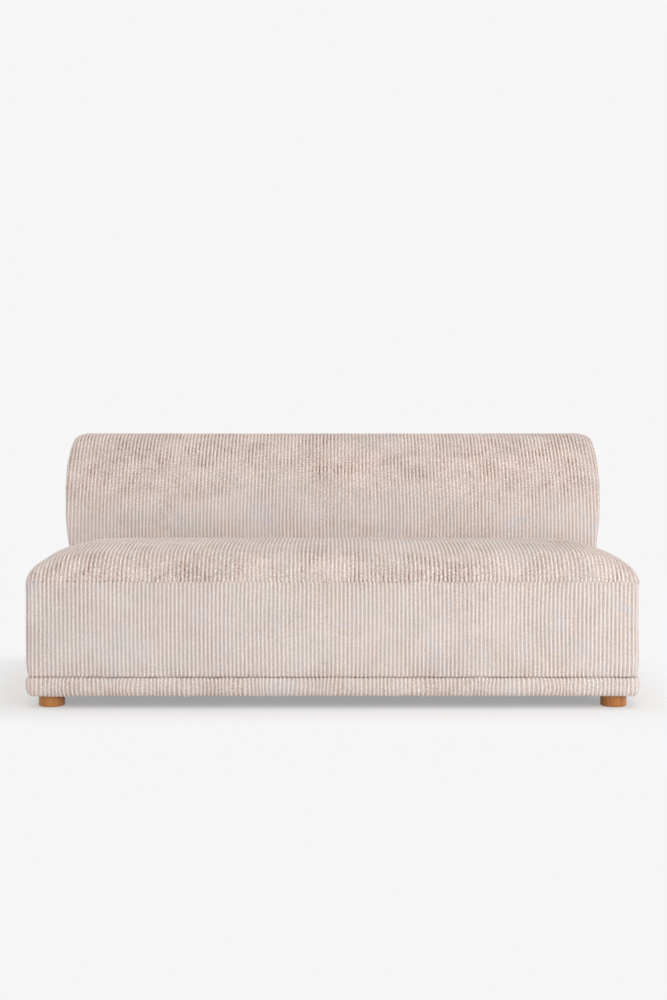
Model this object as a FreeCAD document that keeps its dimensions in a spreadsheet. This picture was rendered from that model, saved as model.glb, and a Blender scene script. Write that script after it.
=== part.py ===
import FreeCAD, Part
import Sketcher
import math
import os
from FreeCAD import Vector

# Armless sofa, millimetres. X runs along the sofa, the front faces -Y, Z is up and the floor is Z = 0.
# The origin is on the floor under the middle of the sofa.

os.makedirs("parts", exist_ok=True)
doc = FreeCAD.newDocument("armless_sofa")

# Driving dimensions: name, value, meaning
SIZES = [
    ("overall_width", 1738, "base, side to side"),
    ("overall_depth", 930, "front of the base to the rear"),
    ("foot_height", 34, "floor to the top of a foot"),
    ("band_height", 56, "padded band at the foot of the base"),
    ("base_cover_height", 269, "top of the band to the seam round the seat"),
    ("crown_rise", 107, "seat seam to the highest line of the seat"),
    ("back_rise", 443, "seat seam to the crest of the back"),
    ("seat_depth", 597, "front of the base to the front of the back"),
    ("corner_radius", 22, "upright corners of the base, seen from above"),
    ("cover_thickness", 3, "ribbed cover fabric"),
    ("wrap_thickness", 8, "fibre wrap over the foam"),
    ("pad_thickness", 12, "padding on the boards of the base"),
    ("soft_gap", 0.3, "clearance between curved soft layers"),
    ("draw_in", 7, "how far the base cover is pulled in at the band"),
    ("draw_in_height", 57, "height over which it is pulled in"),
    ("band_lower_round", 21, "rounding of the band's lower edge"),
    ("band_upper_round", 12, "height of the rounding under the band's seam"),
    ("band_tuck", 22, "how far the band's cover is tucked under the frame"),
    ("roll_depth", 73, "front roll of the seat, front to back"),
    ("roll_height", 85, "front roll of the seat, above the seam"),
    ("crown_setback", 332, "front of the base to the highest line of the seat"),
    ("rear_fall", 13, "fall of the seat from its highest line to the back"),
    ("side_roll_depth", 175, "side roll of the seat, side to crown"),
    ("side_edge_rise", 24, "upright edge of the seat's side roll"),
    ("back_inset", 18, "side of the base to the side of the back at the seam"),
    ("back_bulge", 24, "how far the sides of the back swell"),
    ("back_swell_height", 403, "seat seam to the widest level of the back"),
    ("back_straight", 106, "upright part of the back's front, above the seam"),
    ("back_front_radius", 400, "curve of the back's front"),
    ("crest_front_radius", 132, "curve from the back's front to the crest"),
    ("crest_rear_radius", 75, "curve from the crest to the rear"),
    ("crest_corner_radius", 45, "ends of the crest, seen from the front"),
    ("back_edge_radius", 14, "upright edges of the back, seen from above"),
    ("back_boxing", 16, "side of the back to the seam of its side panel"),
    ("rail_thickness", 22, "boards of the frame"),
    ("rail_drop", 17, "top of the base rails below the seat seam"),
    ("cross_rail_height", 88, "rails that tie the front rail to the rear rail"),
    ("cross_rail_offset", 280, "middle of the sofa to a cross rail"),
    ("spring_rail_setback", 640, "front of the base to the rail behind the springs"),
    ("corner_block_leg", 70, "legs of the blocks glued in the front corners"),
    ("corner_block_height", 170, "length of those blocks"),
    ("corner_block_lift", 68, "bottom of the frame to those blocks"),
    ("foot_board_side", 130, "square boards that hold the feet"),
    ("foot_board_thickness", 18, "the same boards"),
    ("foot_radius", 37, "round feet"),
    ("foot_inset", 65, "side or front of the base to the middle of a foot"),
    ("foot_edge_round", 4, "rounding of a foot's lower edge"),
    ("glide_radius", 28, "felt glide under a foot"),
    ("glide_thickness", 3, "felt glide, its lower face flush with the foot"),
    ("bolt_radius", 4, "hanger bolts and back bolts"),
    ("bolt_gap", 0.3, "clearance round bolts and inserts"),
    ("hanger_bolt_length", 55, "bolt between foot and frame"),
    ("hanger_bolt_in_foot", 24, "part of it inside the foot"),
    ("tee_nut_radius", 11, "flange of the nut in the foot board"),
    ("tee_nut_barrel_radius", 5.6, "barrel of that nut"),
    ("tee_nut_depth", 10, "barrel of that nut"),
    ("tee_nut_flange", 1.5, "flange of that nut"),
    ("dust_cover_thickness", 1, "cloth that closes the underside"),
    ("dust_cover_inset", 23.5, "side of the base to the edge of that cloth"),
    ("staple_length", 12, "crown of a staple"),
    ("staple_wire", 0.8, "wire of a staple"),
    ("staple_inset", 30, "side of the base to the row of staples"),
    ("staple_pitch", 120, "staple to staple"),
    ("spring_wire_radius", 1.9, "zigzag seat springs"),
    ("spring_half_width", 25, "zigzag, middle to side"),
    ("spring_turn", 25, "zigzag, run to run"),
    ("spring_spacing", 180, "spring to spring"),
    ("spring_side_clearance", 100, "side of the base to the outermost spring, at least"),
    ("clip_plate", 1.5, "thickness of a spring clip"),
    ("clip_width", 16, "spring clip, along its rail"),
    ("clip_depth", 10, "spring clip, across its rail"),
    ("tie_wire_radius", 1.25, "wires laid across the springs"),
    ("tie_wire_pitch", 150, "wire to wire"),
    ("insulator_thickness", 3, "felt over the springs"),
    ("edge_roll_width", 9, "strip on top of the base rails"),
    ("back_frame_setback", 800, "front of the base to the front of the back frame"),
    ("back_frame_drop", 78, "crest to the top of the back frame, at least"),
    ("back_rail_height", 75, "top and bottom rails of the back"),
    ("mid_post_offset", 280, "middle of the sofa to a middle post"),
    ("post_lift", 38, "bottom of the frame to the foot of a post"),
    ("rear_board_thickness", 4, "hardboard that closes the rear"),
    ("webbing_thickness", 1.5, "webbing of the back"),
    ("webbing_width", 50, "webbing of the back"),
    ("webbing_spacing", 190, "upright strap to upright strap"),
    ("back_bolt_low", 98, "bottom of the frame to a post's lower bolt"),
    ("back_bolt_spread", 140, "lower bolt to upper bolt"),
    ("back_bolt_head_radius", 7, "bolt head"),
    ("back_bolt_head", 5, "height of that head"),
    ("insert_radius", 6, "threaded insert in a side rail"),
    ("insert_length", 18, "threaded insert in a side rail"),
    ("screw_radius", 2.5, "screws through the front and rear rails"),
    ("screw_head_radius", 4.5, "their heads"),
    ("screw_head", 3, "depth of their heads"),
    ("screw_length", 60, "their length"),
    ("screw_spread", 200, "lowest screw of a corner to its highest"),
]

# Places worked out from the driving dimensions: name, formula, meaning
PLACES = [
    ("half_width", "sizes.overall_width / 2", "middle to side"),
    ("front", "-sizes.overall_depth / 2", "front of the base"),
    ("rear", "sizes.overall_depth / 2", "rear of the base"),
    ("frame_bottom", "sizes.foot_height + sizes.dust_cover_thickness", "under the rails"),
    ("band_bottom", "places.frame_bottom - sizes.cover_thickness", "under the band"),
    ("band_top", "places.band_bottom + sizes.band_height", "seam of the band"),
    ("seam", "places.band_top + sizes.base_cover_height", "seam round the seat"),
    ("crest", "places.seam + sizes.back_rise", "top of the back"),
    ("rail_top", "places.seam - sizes.rail_drop", "top of the base rails"),
    ("rail_height", "places.rail_top - places.frame_bottom", "base rails"),
    ("shell", "sizes.cover_thickness + sizes.pad_thickness", "outside to the rails"),
    ("frame_half", "places.half_width - places.shell", "outer face of a side rail"),
    ("frame_front", "places.front + places.shell", "outer face of the front rail"),
    ("frame_rear", "places.rear - places.shell", "outer face of the rear rail"),
    ("inner_half", "places.frame_half - sizes.rail_thickness", "inner face of a side rail"),
    ("inner_front", "places.frame_front + sizes.rail_thickness", "inner face of the front rail"),
    ("inner_rear", "places.frame_rear - sizes.rail_thickness", "inner face of the rear rail"),
    ("cross_top", "places.frame_bottom + sizes.cross_rail_height", "top of the cross rails"),
    ("spring_rail_front", "places.front + sizes.spring_rail_setback", "front of the spring rail"),
    ("foot_x", "places.half_width - sizes.foot_inset", "middle of a foot"),
    ("foot_y", "places.rear - sizes.foot_inset", "middle of a rear foot"),
    ("spring_level", "places.rail_top + 2 * sizes.clip_plate + sizes.spring_wire_radius", "springs"),
    ("tie_level", "places.spring_level + sizes.spring_wire_radius + sizes.tie_wire_radius", "wires"),
    ("insulator_bottom", "places.tie_level + sizes.tie_wire_radius + sizes.soft_gap", "felt"),
    ("foam_bottom", "places.insulator_bottom + sizes.insulator_thickness + sizes.soft_gap", "foam"),
    ("foam_shell", "sizes.cover_thickness + sizes.wrap_thickness + sizes.soft_gap", "to the foam"),
    ("back_half", "places.half_width - sizes.back_inset", "side of the back at the seam"),
    ("back_front", "places.front + sizes.seat_depth", "front of the back at the seat"),
    ("back_frame_front", "places.front + sizes.back_frame_setback", "front of the posts"),
    ("back_frame_rear",
     "min(places.frame_rear; places.rear - places.foam_shell - sizes.rear_board_thickness)",
     "rear of the posts"),
    ("back_frame_top", "places.crest - max(sizes.back_frame_drop; sizes.crest_rear_radius)",
     "top of the posts"),
    ("post_inner", "places.inner_half - sizes.rail_thickness", "inner face of a post"),
    ("strap_front", "places.back_frame_front - 2 * sizes.webbing_thickness", "front of the webbing"),
    ("foam_rear", "places.strap_front - sizes.soft_gap", "rear face of the back foam"),
]


def add_sheet(name, rows, prefix):
    """One spreadsheet: names in column A, values in column B with the names as aliases, notes in C."""
    sheet = doc.addObject("Spreadsheet::Sheet", name)
    for row, (alias, value, note) in enumerate(rows, start=1):
        sheet.set(f"A{row}", alias)
        sheet.set(f"B{row}", f"{prefix}{value}")
        sheet.set(f"C{row}", note)
        sheet.setAlias(f"B{row}", alias)
    return sheet


sizes = add_sheet("sizes", SIZES, "")
places = add_sheet("places", [(n, f.replace("places.", ""), m) for n, f, m in PLACES], "=")
doc.recompute()


def size(alias):
    return float(getattr(sizes, alias))


def place(alias):
    return float(getattr(places, alias))


def number(formula):
    """The value of a formula of sheet names."""
    return float(sizes.evalExpression(formula))


# Plain pieces, bound to the sheets

def bind(piece, formulas):
    for name, formula in formulas.items():
        piece.setExpression(name, formula)
    return piece


def board(label, low, lengths):
    """A box from its low corner and its lengths along X, Y and Z, all formulas."""
    piece = doc.addObject("Part::Box", label)
    bind(piece, dict(zip(("Length", "Width", "Height"), lengths)))
    return bind(piece, dict(zip(("Placement.Base.x", "Placement.Base.y", "Placement.Base.z"), low)))


def rod(label, centre, radius, length, along="Z"):
    """A cylinder that starts at centre and runs along X, Y or Z, from formulas."""
    piece = doc.addObject("Part::Cylinder", label)
    turns = {"X": (Vector(0, 1, 0), 90), "Y": (Vector(1, 0, 0), -90), "Z": (Vector(0, 0, 1), 0)}
    piece.Placement.Rotation = FreeCAD.Rotation(*turns[along])
    bind(piece, {"Radius": radius, "Height": length})
    return bind(piece, dict(zip(("Placement.Base.x", "Placement.Base.y", "Placement.Base.z"), centre)))


def group(label, pieces):
    joined = doc.addObject("Part::Compound", label)
    joined.Links = pieces
    return joined


def cut(label, base, tool):
    piece = doc.addObject("Part::Cut", label)
    piece.Base = base
    piece.Tool = tool
    return piece


def made(label, shape):
    """A piece whose shape is worked out from the sheets in this file."""
    piece = doc.addObject("Part::Feature", label)
    piece.Shape = shape
    piece.Placement = FreeCAD.Placement()
    return piece


def copies(shape, spots):
    return Part.makeCompound([shape.translated(Vector(*spot)) for spot in spots])


# Sketched pieces

def origin_plane(body, role):
    return next(f for f in body.Origin.OriginFeatures if f.Role == role)


def outline(body, role, corners):
    """A closed sketch of straight lines through corners, each an (across, up) pair of formulas."""
    sketch = body.newObject("Sketcher::SketchObject", f"{body.Name}_outline")
    sketch.AttachmentSupport = (origin_plane(body, role), [""])
    sketch.MapMode = "FlatFace"
    points = [Vector(number(across), number(up), 0) for across, up in corners]
    for start, end in zip(points, points[1:] + points[:1]):
        sketch.addGeometry(Part.LineSegment(start, end), False)
    for line, (across, up) in enumerate(corners):
        following = (line + 1) % len(corners)
        sketch.addConstraint(Sketcher.Constraint("Coincident", line, 2, following, 1))
        for kind, axis, formula, value in (
            ("DistanceX", -2, across, points[line].x),
            ("DistanceY", -1, up, points[line].y),
        ):
            if formula == "0":
                sketch.addConstraint(Sketcher.Constraint("PointOnObject", line, 1, axis))
                continue
            index = sketch.addConstraint(Sketcher.Constraint(kind, -1, 1, line, 1, value))
            sketch.setExpression(f"Constraints[{index}]", formula)
    return sketch


def padded_body(label, role, corners, thickness):
    body = doc.addObject("PartDesign::Body", label)
    pad = body.newObject("PartDesign::Pad", f"{label}_pad")
    pad.Profile = outline(body, role, corners)
    pad.setExpression("Length", thickness)
    return body


def turned_body(label, corners):
    """A body turned about its own Z axis from an outline of (radius, height) pairs."""
    body = doc.addObject("PartDesign::Body", label)
    turn = body.newObject("PartDesign::Revolution", f"{label}_turn")
    turn.Profile = outline(body, "XZ_Plane", corners)
    turn.ReferenceAxis = (turn.Profile[0], ["V_Axis"])
    turn.Angle = 360
    return body


# Base frame

RAIL = "sizes.rail_thickness"
FRAME_SPAN = "2 * places.frame_half"
INNER_SPAN = "2 * places.inner_half"
INNER_DEPTH = "places.inner_rear - places.inner_front"

SCREW_LEVELS = [
    f"places.frame_bottom + places.rail_height / 2 + {row} * sizes.screw_spread / 2" for row in (-1, 0, 1)
]
SCREW_X = "(places.frame_half - sizes.rail_thickness / 2)"


def screw_set(name, slack):
    """Screws through the front and rear rails into the side rails, or with slack the holes they need."""
    made_rods = []
    for side in (-1, 1):
        for end, facing in (("places.frame_front", 1), ("places.frame_rear", -1)):
            for row, level in enumerate(SCREW_LEVELS):
                tag = f"{name}_{'left' if side < 0 else 'right'}_{'front' if facing > 0 else 'rear'}_{row}"
                x = f"{side} * {SCREW_X}"
                far = f"{end} - (sizes.screw_length + {slack})"
                near = f"{end} - (sizes.screw_head + {slack})"
                start = end if facing > 0 else far
                head = end if facing > 0 else near
                shank = rod(f"{tag}_shank", (x, start, level), f"sizes.screw_radius + {slack}",
                            f"sizes.screw_length + {slack}", "Y")
                top = rod(f"{tag}_head", (x, head, level), f"sizes.screw_head_radius + {slack}",
                          f"sizes.screw_head + {slack}", "Y")
                whole = doc.addObject("Part::Fuse", tag)
                whole.Base = shank
                whole.Tool = top
                made_rods.append(whole)
    return group(name, made_rods)


frame_screws = screw_set("frame_screws", "0")
screw_holes = screw_set("screw_holes", "sizes.bolt_gap")

front_blank = board("front_rail_blank", ("-places.frame_half", "places.frame_front", "places.frame_bottom"),
                    (FRAME_SPAN, RAIL, "places.rail_height"))
rear_blank = board("rear_rail_blank", ("-places.frame_half", "places.inner_rear", "places.frame_bottom"),
                   (FRAME_SPAN, RAIL, "places.rail_height"))
base_front_rail = cut("base_front_rail", front_blank, screw_holes)
base_rear_rail = cut("base_rear_rail", rear_blank, screw_holes)

BOLT_Y = "(places.back_frame_front + (places.inner_rear - places.back_frame_front) / 2)"
BOLT_LEVELS = ("places.frame_bottom + sizes.back_bolt_low",
               "places.frame_bottom + sizes.back_bolt_low + sizes.back_bolt_spread")


def side_rods(name, outer, radius, length):
    """Rods along X at the back bolts of both sides, from an outer face inwards."""
    rods = []
    for side in (-1, 1):
        for row, level in enumerate(BOLT_LEVELS):
            start = f"-({outer})" if side < 0 else f"{outer} - ({length})"
            rods.append(rod(f"{name}_{'left' if side < 0 else 'right'}_{row}",
                            (start, BOLT_Y, level), radius, length, "X"))
    return group(name, rods)


insert_holes = side_rods("insert_holes", "places.frame_half", "sizes.insert_radius + sizes.bolt_gap", RAIL)
side_holes = group("side_rail_holes", [screw_holes, insert_holes])
side_rails = []
for name, low_x in (("left", "-places.frame_half"), ("right", "places.inner_half")):
    blank = board(f"side_rail_blank_{name}", (low_x, "places.inner_front", "places.frame_bottom"),
                  (RAIL, INNER_DEPTH, "places.rail_height"))
    side_rails.append(cut(f"base_side_rail_{name}", blank, side_holes))

base_cross_rails = group("base_cross_rails", [
    board(f"cross_rail_{name}",
          (f"{side} * sizes.cross_rail_offset - sizes.rail_thickness / 2", "places.inner_front",
           "places.frame_bottom"),
          (RAIL, INNER_DEPTH, "sizes.cross_rail_height"))
    for name, side in (("left", -1), ("right", 1))
])
spring_rail = board("spring_rear_rail",
                    ("-places.inner_half", "places.spring_rail_front", "places.cross_top"),
                    (INNER_SPAN, RAIL, "places.rail_top - places.cross_top"))


def corner_block_shape():
    """Two upright triangular blocks in the front corners of the frame."""
    leg = size("corner_block_leg")
    low = place("frame_bottom") + size("corner_block_lift")
    x, y = place("inner_half"), place("inner_front")
    blocks = []
    for side in (-1, 1):
        corner = Vector(side * x, y, low)
        corners = [corner, corner + Vector(-side * leg, 0, 0), corner + Vector(0, leg, 0), corner]
        blocks.append(Part.Face(Part.makePolygon(corners)).extrude(Vector(0, 0, size("corner_block_height"))))
    return Part.makeCompound(blocks)


corner_blocks = made("corner_blocks", corner_block_shape())

# Feet and what holds them

FEET = [("front_left", -1, -1), ("front_right", 1, -1), ("rear_left", -1, 1), ("rear_right", 1, 1)]


def foot_spots(level):
    return [(sx * place("foot_x"), sy * place("foot_y"), level) for _, sx, sy in FEET]


foot_boards_blank = group("foot_board_blanks", [
    board(f"foot_board_{name}",
          ("-places.inner_half" if sx < 0 else "places.inner_half - sizes.foot_board_side",
           "places.inner_front" if sy < 0 else "places.inner_rear - sizes.foot_board_side",
           "places.frame_bottom"),
          ("sizes.foot_board_side", "sizes.foot_board_side", "sizes.foot_board_thickness"))
    for name, sx, sy in FEET
])
foot_board_holes = group("foot_board_holes", [
    rod(f"foot_board_hole_{name}", (f"{sx} * places.foot_x", f"{sy} * places.foot_y", "places.frame_bottom"),
        "sizes.tee_nut_barrel_radius + sizes.bolt_gap", "sizes.foot_board_thickness")
    for name, sx, sy in FEET
])
foot_boards = cut("foot_boards", foot_boards_blank, foot_board_holes)

feet = []
glides = []
BORE = "sizes.bolt_radius + sizes.bolt_gap"
BORE_BOTTOM = "sizes.foot_height - sizes.hanger_bolt_in_foot - sizes.bolt_gap"
for name, sx, sy in FEET:
    foot = turned_body(f"foot_{name}", [
        ("0", "sizes.glide_thickness"),
        ("sizes.glide_radius + sizes.bolt_gap", "sizes.glide_thickness"),
        ("sizes.glide_radius + sizes.bolt_gap", "0"),
        ("sizes.foot_radius", "0"),
        ("sizes.foot_radius", "sizes.foot_height"),
        (BORE, "sizes.foot_height"),
        (BORE, BORE_BOTTOM),
        ("0", BORE_BOTTOM),
    ])
    bind(foot, {"Placement.Base.x": f"{sx} * places.foot_x", "Placement.Base.y": f"{sy} * places.foot_y"})
    feet.append(foot)
    glides.append(rod(f"glide_{name}", (f"{sx} * places.foot_x", f"{sy} * places.foot_y", "0"),
                      "sizes.glide_radius", "sizes.glide_thickness"))
foot_glides = group("foot_glides", glides)
doc.recompute()
for foot in feet:
    turn = foot.Tip
    lower_edges = [
        f"Edge{k}" for k, edge in enumerate(turn.Shape.Edges, start=1)
        if edge.BoundBox.ZMax < 0.01 and edge.BoundBox.XLength > 2 * size("foot_radius") - 1
    ]
    rounding = foot.newObject("PartDesign::Fillet", f"{foot.Name}_round")
    rounding.Base = (turn, lower_edges)
    rounding.setExpression("Radius", "sizes.foot_edge_round")

tee_nut = turned_body("tee_nut", [
    (BORE, "0"),
    ("sizes.tee_nut_barrel_radius", "0"),
    ("sizes.tee_nut_barrel_radius", "sizes.tee_nut_depth"),
    ("sizes.tee_nut_radius", "sizes.tee_nut_depth"),
    ("sizes.tee_nut_radius", "sizes.tee_nut_depth + sizes.tee_nut_flange"),
    (BORE, "sizes.tee_nut_depth + sizes.tee_nut_flange"),
])
doc.recompute()
tee_nuts = made("tee_nuts", copies(
    tee_nut.Shape,
    foot_spots(place("frame_bottom") + size("foot_board_thickness") - size("tee_nut_depth")),
))
hanger_bolts = group("hanger_bolts", [
    rod(f"hanger_bolt_{name}",
        (f"{sx} * places.foot_x", f"{sy} * places.foot_y", "sizes.foot_height - sizes.hanger_bolt_in_foot"),
        "sizes.bolt_radius", "sizes.hanger_bolt_length")
    for name, sx, sy in FEET
])

# Seat springs


def spring_path(length):
    """A flat zigzag along +Y from the origin: straight runs along X joined by half circles."""
    turns = max(2, round(length / size("spring_turn")))
    step = length / turns
    bend = step / 2
    reach = size("spring_half_width") - bend
    edges = []
    for k in range(turns + 1):
        side = 1 if k % 2 == 0 else -1
        y = k * step
        edges.append(Part.LineSegment(Vector(-side * reach, y, 0), Vector(side * reach, y, 0)))
        if k < turns:
            centre = Vector(side * reach, y + bend, 0)
            outer = centre + Vector(side * bend, 0, 0)
            half = bend * math.sqrt(0.5)
            start, end = centre + Vector(0, -bend, 0), centre + Vector(0, bend, 0)
            edges.append(Part.Arc(start, centre + Vector(side * half, -half, 0), outer))
            edges.append(Part.Arc(outer, centre + Vector(side * half, half, 0), end))
    return Part.Wire([edge.toShape() for edge in edges]), reach


def spring_shape(length):
    path, reach = spring_path(length)
    section = Part.Wire(Part.makeCircle(size("spring_wire_radius"), Vector(-reach, 0, 0), Vector(1, 0, 0)))
    spring = path.makePipeShell([section], True, False)
    expected = path.Length * math.pi * size("spring_wire_radius") ** 2
    print("spring volume over expected", round(spring.Volume / expected, 4))
    return spring


spring_front = place("inner_front") - size("clip_depth") / 2
spring_rear = place("spring_rail_front") + size("rail_thickness") / 2
spring_reach = place("half_width") - size("spring_side_clearance")
spring_pairs = int(spring_reach // size("spring_spacing"))
spring_rows = [k * size("spring_spacing") for k in range(-spring_pairs, spring_pairs + 1)]
seat_springs = made("seat_springs", copies(
    spring_shape(spring_rear - spring_front),
    [(x, spring_front, place("spring_level")) for x in spring_rows],
))


def clip_shape():
    """A plate with an eye for the first run of a spring, its bottom at Z = 0 and the run along X."""
    width, depth, plate = size("clip_width"), size("clip_depth"), size("clip_plate")
    level = place("spring_level") - place("rail_top")
    bore = size("spring_wire_radius") + size("bolt_gap") / 2
    flat = Part.makeBox(width, depth, plate, Vector(-width / 2, -depth / 2, 0))
    eye = Part.makeCylinder(bore + plate, width, Vector(-width / 2, 0, level), Vector(1, 0, 0))
    hole = Part.makeCylinder(bore, width, Vector(-width / 2, 0, level), Vector(1, 0, 0))
    return flat.fuse(eye).cut(hole)


spring_clips = made("spring_clips", copies(
    clip_shape(), [(x, y, place("rail_top")) for x in spring_rows for y in (spring_front, spring_rear)]))


def tie_wire_shape():
    """Straight wires across all the springs, kept clear of the clips."""
    half = spring_rows[-1] + size("spring_half_width")
    count = int((spring_rear - spring_front) // size("tie_wire_pitch"))
    start = (spring_front + spring_rear) / 2 - (count - 1) * size("tie_wire_pitch") / 2
    ends = [Vector(-half, start + k * size("tie_wire_pitch"), place("tie_level")) for k in range(count)]
    return Part.makeCompound([
        Part.makeCylinder(size("tie_wire_radius"), 2 * half, end, Vector(1, 0, 0)) for end in ends
    ])


spring_tie_wires = made("spring_tie_wires", tie_wire_shape())

EDGE = "sizes.edge_roll_width"
SIDE_EDGE_START = f"places.frame_front + {EDGE}"
SIDE_EDGE_LENGTH = f"places.frame_rear - places.frame_front - {EDGE}"
EDGE_HEIGHT = "places.foam_bottom - places.rail_top"
insulator_pad = board("insulator_pad",
                      (f"-(places.frame_half - {EDGE} - sizes.soft_gap)",
                       f"places.frame_front + {EDGE} + sizes.soft_gap", "places.insulator_bottom"),
                      (f"2 * (places.frame_half - {EDGE} - sizes.soft_gap)",
                       f"places.spring_rail_front + {RAIL} - places.frame_front - {EDGE} - sizes.soft_gap",
                       "sizes.insulator_thickness"))
edge_rolls = group("edge_rolls", [
    board("edge_roll_front", ("-places.frame_half", "places.frame_front", "places.rail_top"),
          (FRAME_SPAN, EDGE, EDGE_HEIGHT)),
    board("edge_roll_left", ("-places.frame_half", SIDE_EDGE_START, "places.rail_top"),
          (EDGE, SIDE_EDGE_LENGTH, EDGE_HEIGHT)),
    board("edge_roll_right", (f"places.frame_half - {EDGE}", SIDE_EDGE_START, "places.rail_top"),
          (EDGE, SIDE_EDGE_LENGTH, EDGE_HEIGHT)),
])

# Back frame

POST_TOP = "places.back_frame_top - (places.frame_bottom + sizes.post_lift)"
NOTCH = "places.rail_top - (places.frame_bottom + sizes.post_lift)"
POST_DEPTH = "places.back_frame_rear - places.back_frame_front"
FOOT_DEPTH = "places.inner_rear - places.back_frame_front"
bolt_holes = side_rods("bolt_holes", "places.inner_half", "sizes.bolt_radius + sizes.bolt_gap", RAIL)
back_posts = []
for name, low_x in (("left", "-places.inner_half"), ("right", "places.post_inner")):
    blank = padded_body(f"post_blank_{name}", "YZ_Plane", [
        ("0", "0"),
        (FOOT_DEPTH, "0"),
        (FOOT_DEPTH, NOTCH),
        (POST_DEPTH, NOTCH),
        (POST_DEPTH, POST_TOP),
        ("0", POST_TOP),
    ], RAIL)
    bind(blank, {"Placement.Base.x": low_x, "Placement.Base.y": "places.back_frame_front",
                 "Placement.Base.z": "places.frame_bottom + sizes.post_lift"})
    back_posts.append(cut(f"back_post_{name}", blank, bolt_holes))

POST_SPAN = "2 * places.post_inner"
back_top_rail = board("back_top_rail",
                      ("-places.post_inner", "places.back_frame_front",
                       "places.back_frame_top - sizes.back_rail_height"),
                      (POST_SPAN, RAIL, "sizes.back_rail_height"))
back_bottom_rail = board("back_bottom_rail",
                         ("-places.post_inner", "places.back_frame_front", "places.foam_bottom"),
                         (POST_SPAN, RAIL, "sizes.back_rail_height"))
back_mid_posts = group("back_mid_posts", [
    board(f"mid_post_{name}",
          (f"{side} * sizes.mid_post_offset - sizes.rail_thickness / 2",
           "places.back_frame_front + sizes.rail_thickness", "places.rail_top"),
          (RAIL, f"{POST_DEPTH} - sizes.rail_thickness", "places.back_frame_top - places.rail_top"))
    for name, side in (("left", -1), ("right", 1))
])
back_rear_board = board("back_rear_board", ("-places.inner_half", "places.back_frame_rear", "places.seam"),
                        (INNER_SPAN, "sizes.rear_board_thickness", "places.back_frame_top - places.seam"))

BOLT_LENGTH = "2 * sizes.rail_thickness - sizes.clip_plate"
back_bolts = group("back_bolts", [
    side_rods("bolt_shanks", "places.frame_half - sizes.clip_plate", "sizes.bolt_radius", BOLT_LENGTH),
    side_rods("bolt_heads", "places.post_inner", "sizes.back_bolt_head_radius", "sizes.back_bolt_head"),
])
inserts_outer = side_rods("insert_blanks", "places.frame_half", "sizes.insert_radius", "sizes.insert_length")
inserts_bore = side_rods("insert_bores", "places.frame_half", "sizes.bolt_radius + sizes.bolt_gap / 2",
                         "sizes.insert_length")
bolt_inserts = cut("bolt_inserts", inserts_outer, inserts_bore)


def webbing_shape():
    """Upright straps on the back rails and two level straps in front of them."""
    thick, width = size("webbing_thickness"), size("webbing_width")
    low, high = place("foam_bottom"), place("back_frame_top")
    half = place("post_inner")
    spacing = size("webbing_spacing")
    pairs = int((half - width / 2) // spacing)
    face = place("back_frame_front")
    straps = [
        Part.makeBox(width, thick, high - low, Vector(k * spacing - width / 2, face - thick, low))
        for k in range(-pairs, pairs + 1)
    ]
    for share in (1 / 3, 2 / 3):
        level = low + share * (high - low) - width / 2
        straps.append(Part.makeBox(2 * place("inner_half"), thick, width,
                                   Vector(-place("inner_half"), face - 2 * thick, level)))
    return Part.makeCompound(straps)


back_webbing = made("back_webbing", webbing_shape())

# Soft forms of the base


def rounded_rectangle(level, half_width, front, rear, radius):
    """A closed wire at one height: four lines joined by four quarter arcs."""
    diagonal = radius * (1 - math.sqrt(0.5))
    edges = []
    turns = [(1, front, 1), (1, rear, -1), (-1, rear, -1), (-1, front, 1)]
    for k, (sx, y, sy) in enumerate(turns):
        on_end = Vector(sx * (half_width - radius), y, level)
        on_side = Vector(sx * half_width, y + sy * radius, level)
        middle = Vector(sx * (half_width - diagonal), y + sy * diagonal, level)
        start, end = (on_end, on_side) if k % 2 == 0 else (on_side, on_end)
        edges.append(Part.Arc(start, middle, end).toShape())
    corners = []
    for k, arc in enumerate(edges):
        corners.append(arc)
        following = edges[(k + 1) % 4]
        corners.append(Part.makeLine(arc.Vertexes[-1].Point, following.Vertexes[0].Point))
    return Part.Wire(Part.__sortEdges__(corners))


LEAST_RADIUS = 2


def base_wire(level, inset):
    radius = max(size("corner_radius") - inset, LEAST_RADIUS)
    return rounded_rectangle(level, place("half_width") - inset, place("front") + inset,
                             place("rear") - inset, radius)


def base_prism(inset, low, high):
    return Part.Face(base_wire(low, inset)).extrude(Vector(0, 0, high - low))


def base_body(inset):
    """The base from the band's seam to the seat seam, drawn in at the bottom, moved inwards by inset."""
    low, high = place("band_top"), place("seam")
    steps = 4
    wires = []
    for k in range(steps + 1):
        share = k / steps
        pull = size("draw_in") * (1 - share) ** 2
        wires.append(base_wire(low + share * size("draw_in_height"), inset + pull))
    wires.append(base_wire(high, inset))
    return Part.makeLoft(wires, True, True)


def band_body(inset):
    """The band: a rounding below, an upright face and a rounding up to its seam, moved inwards by inset."""
    low, high = place("band_bottom") + inset, place("band_top")
    lower = size("band_lower_round") - inset
    upper, pull = size("band_upper_round"), size("draw_in")
    steps = 5
    wires = []
    for k in range(steps + 1):
        turn = math.radians(90 * k / steps)
        wires.append(base_wire(low + lower * (1 - math.cos(turn)), inset + lower * (1 - math.sin(turn))))
    for k in range(steps + 1):
        turn = math.radians(90 * k / steps)
        wires.append(base_wire(high - upper * (1 - math.sin(turn)), inset + pull * (1 - math.cos(turn))))
    return Part.makeLoft(wires, True, True)


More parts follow.
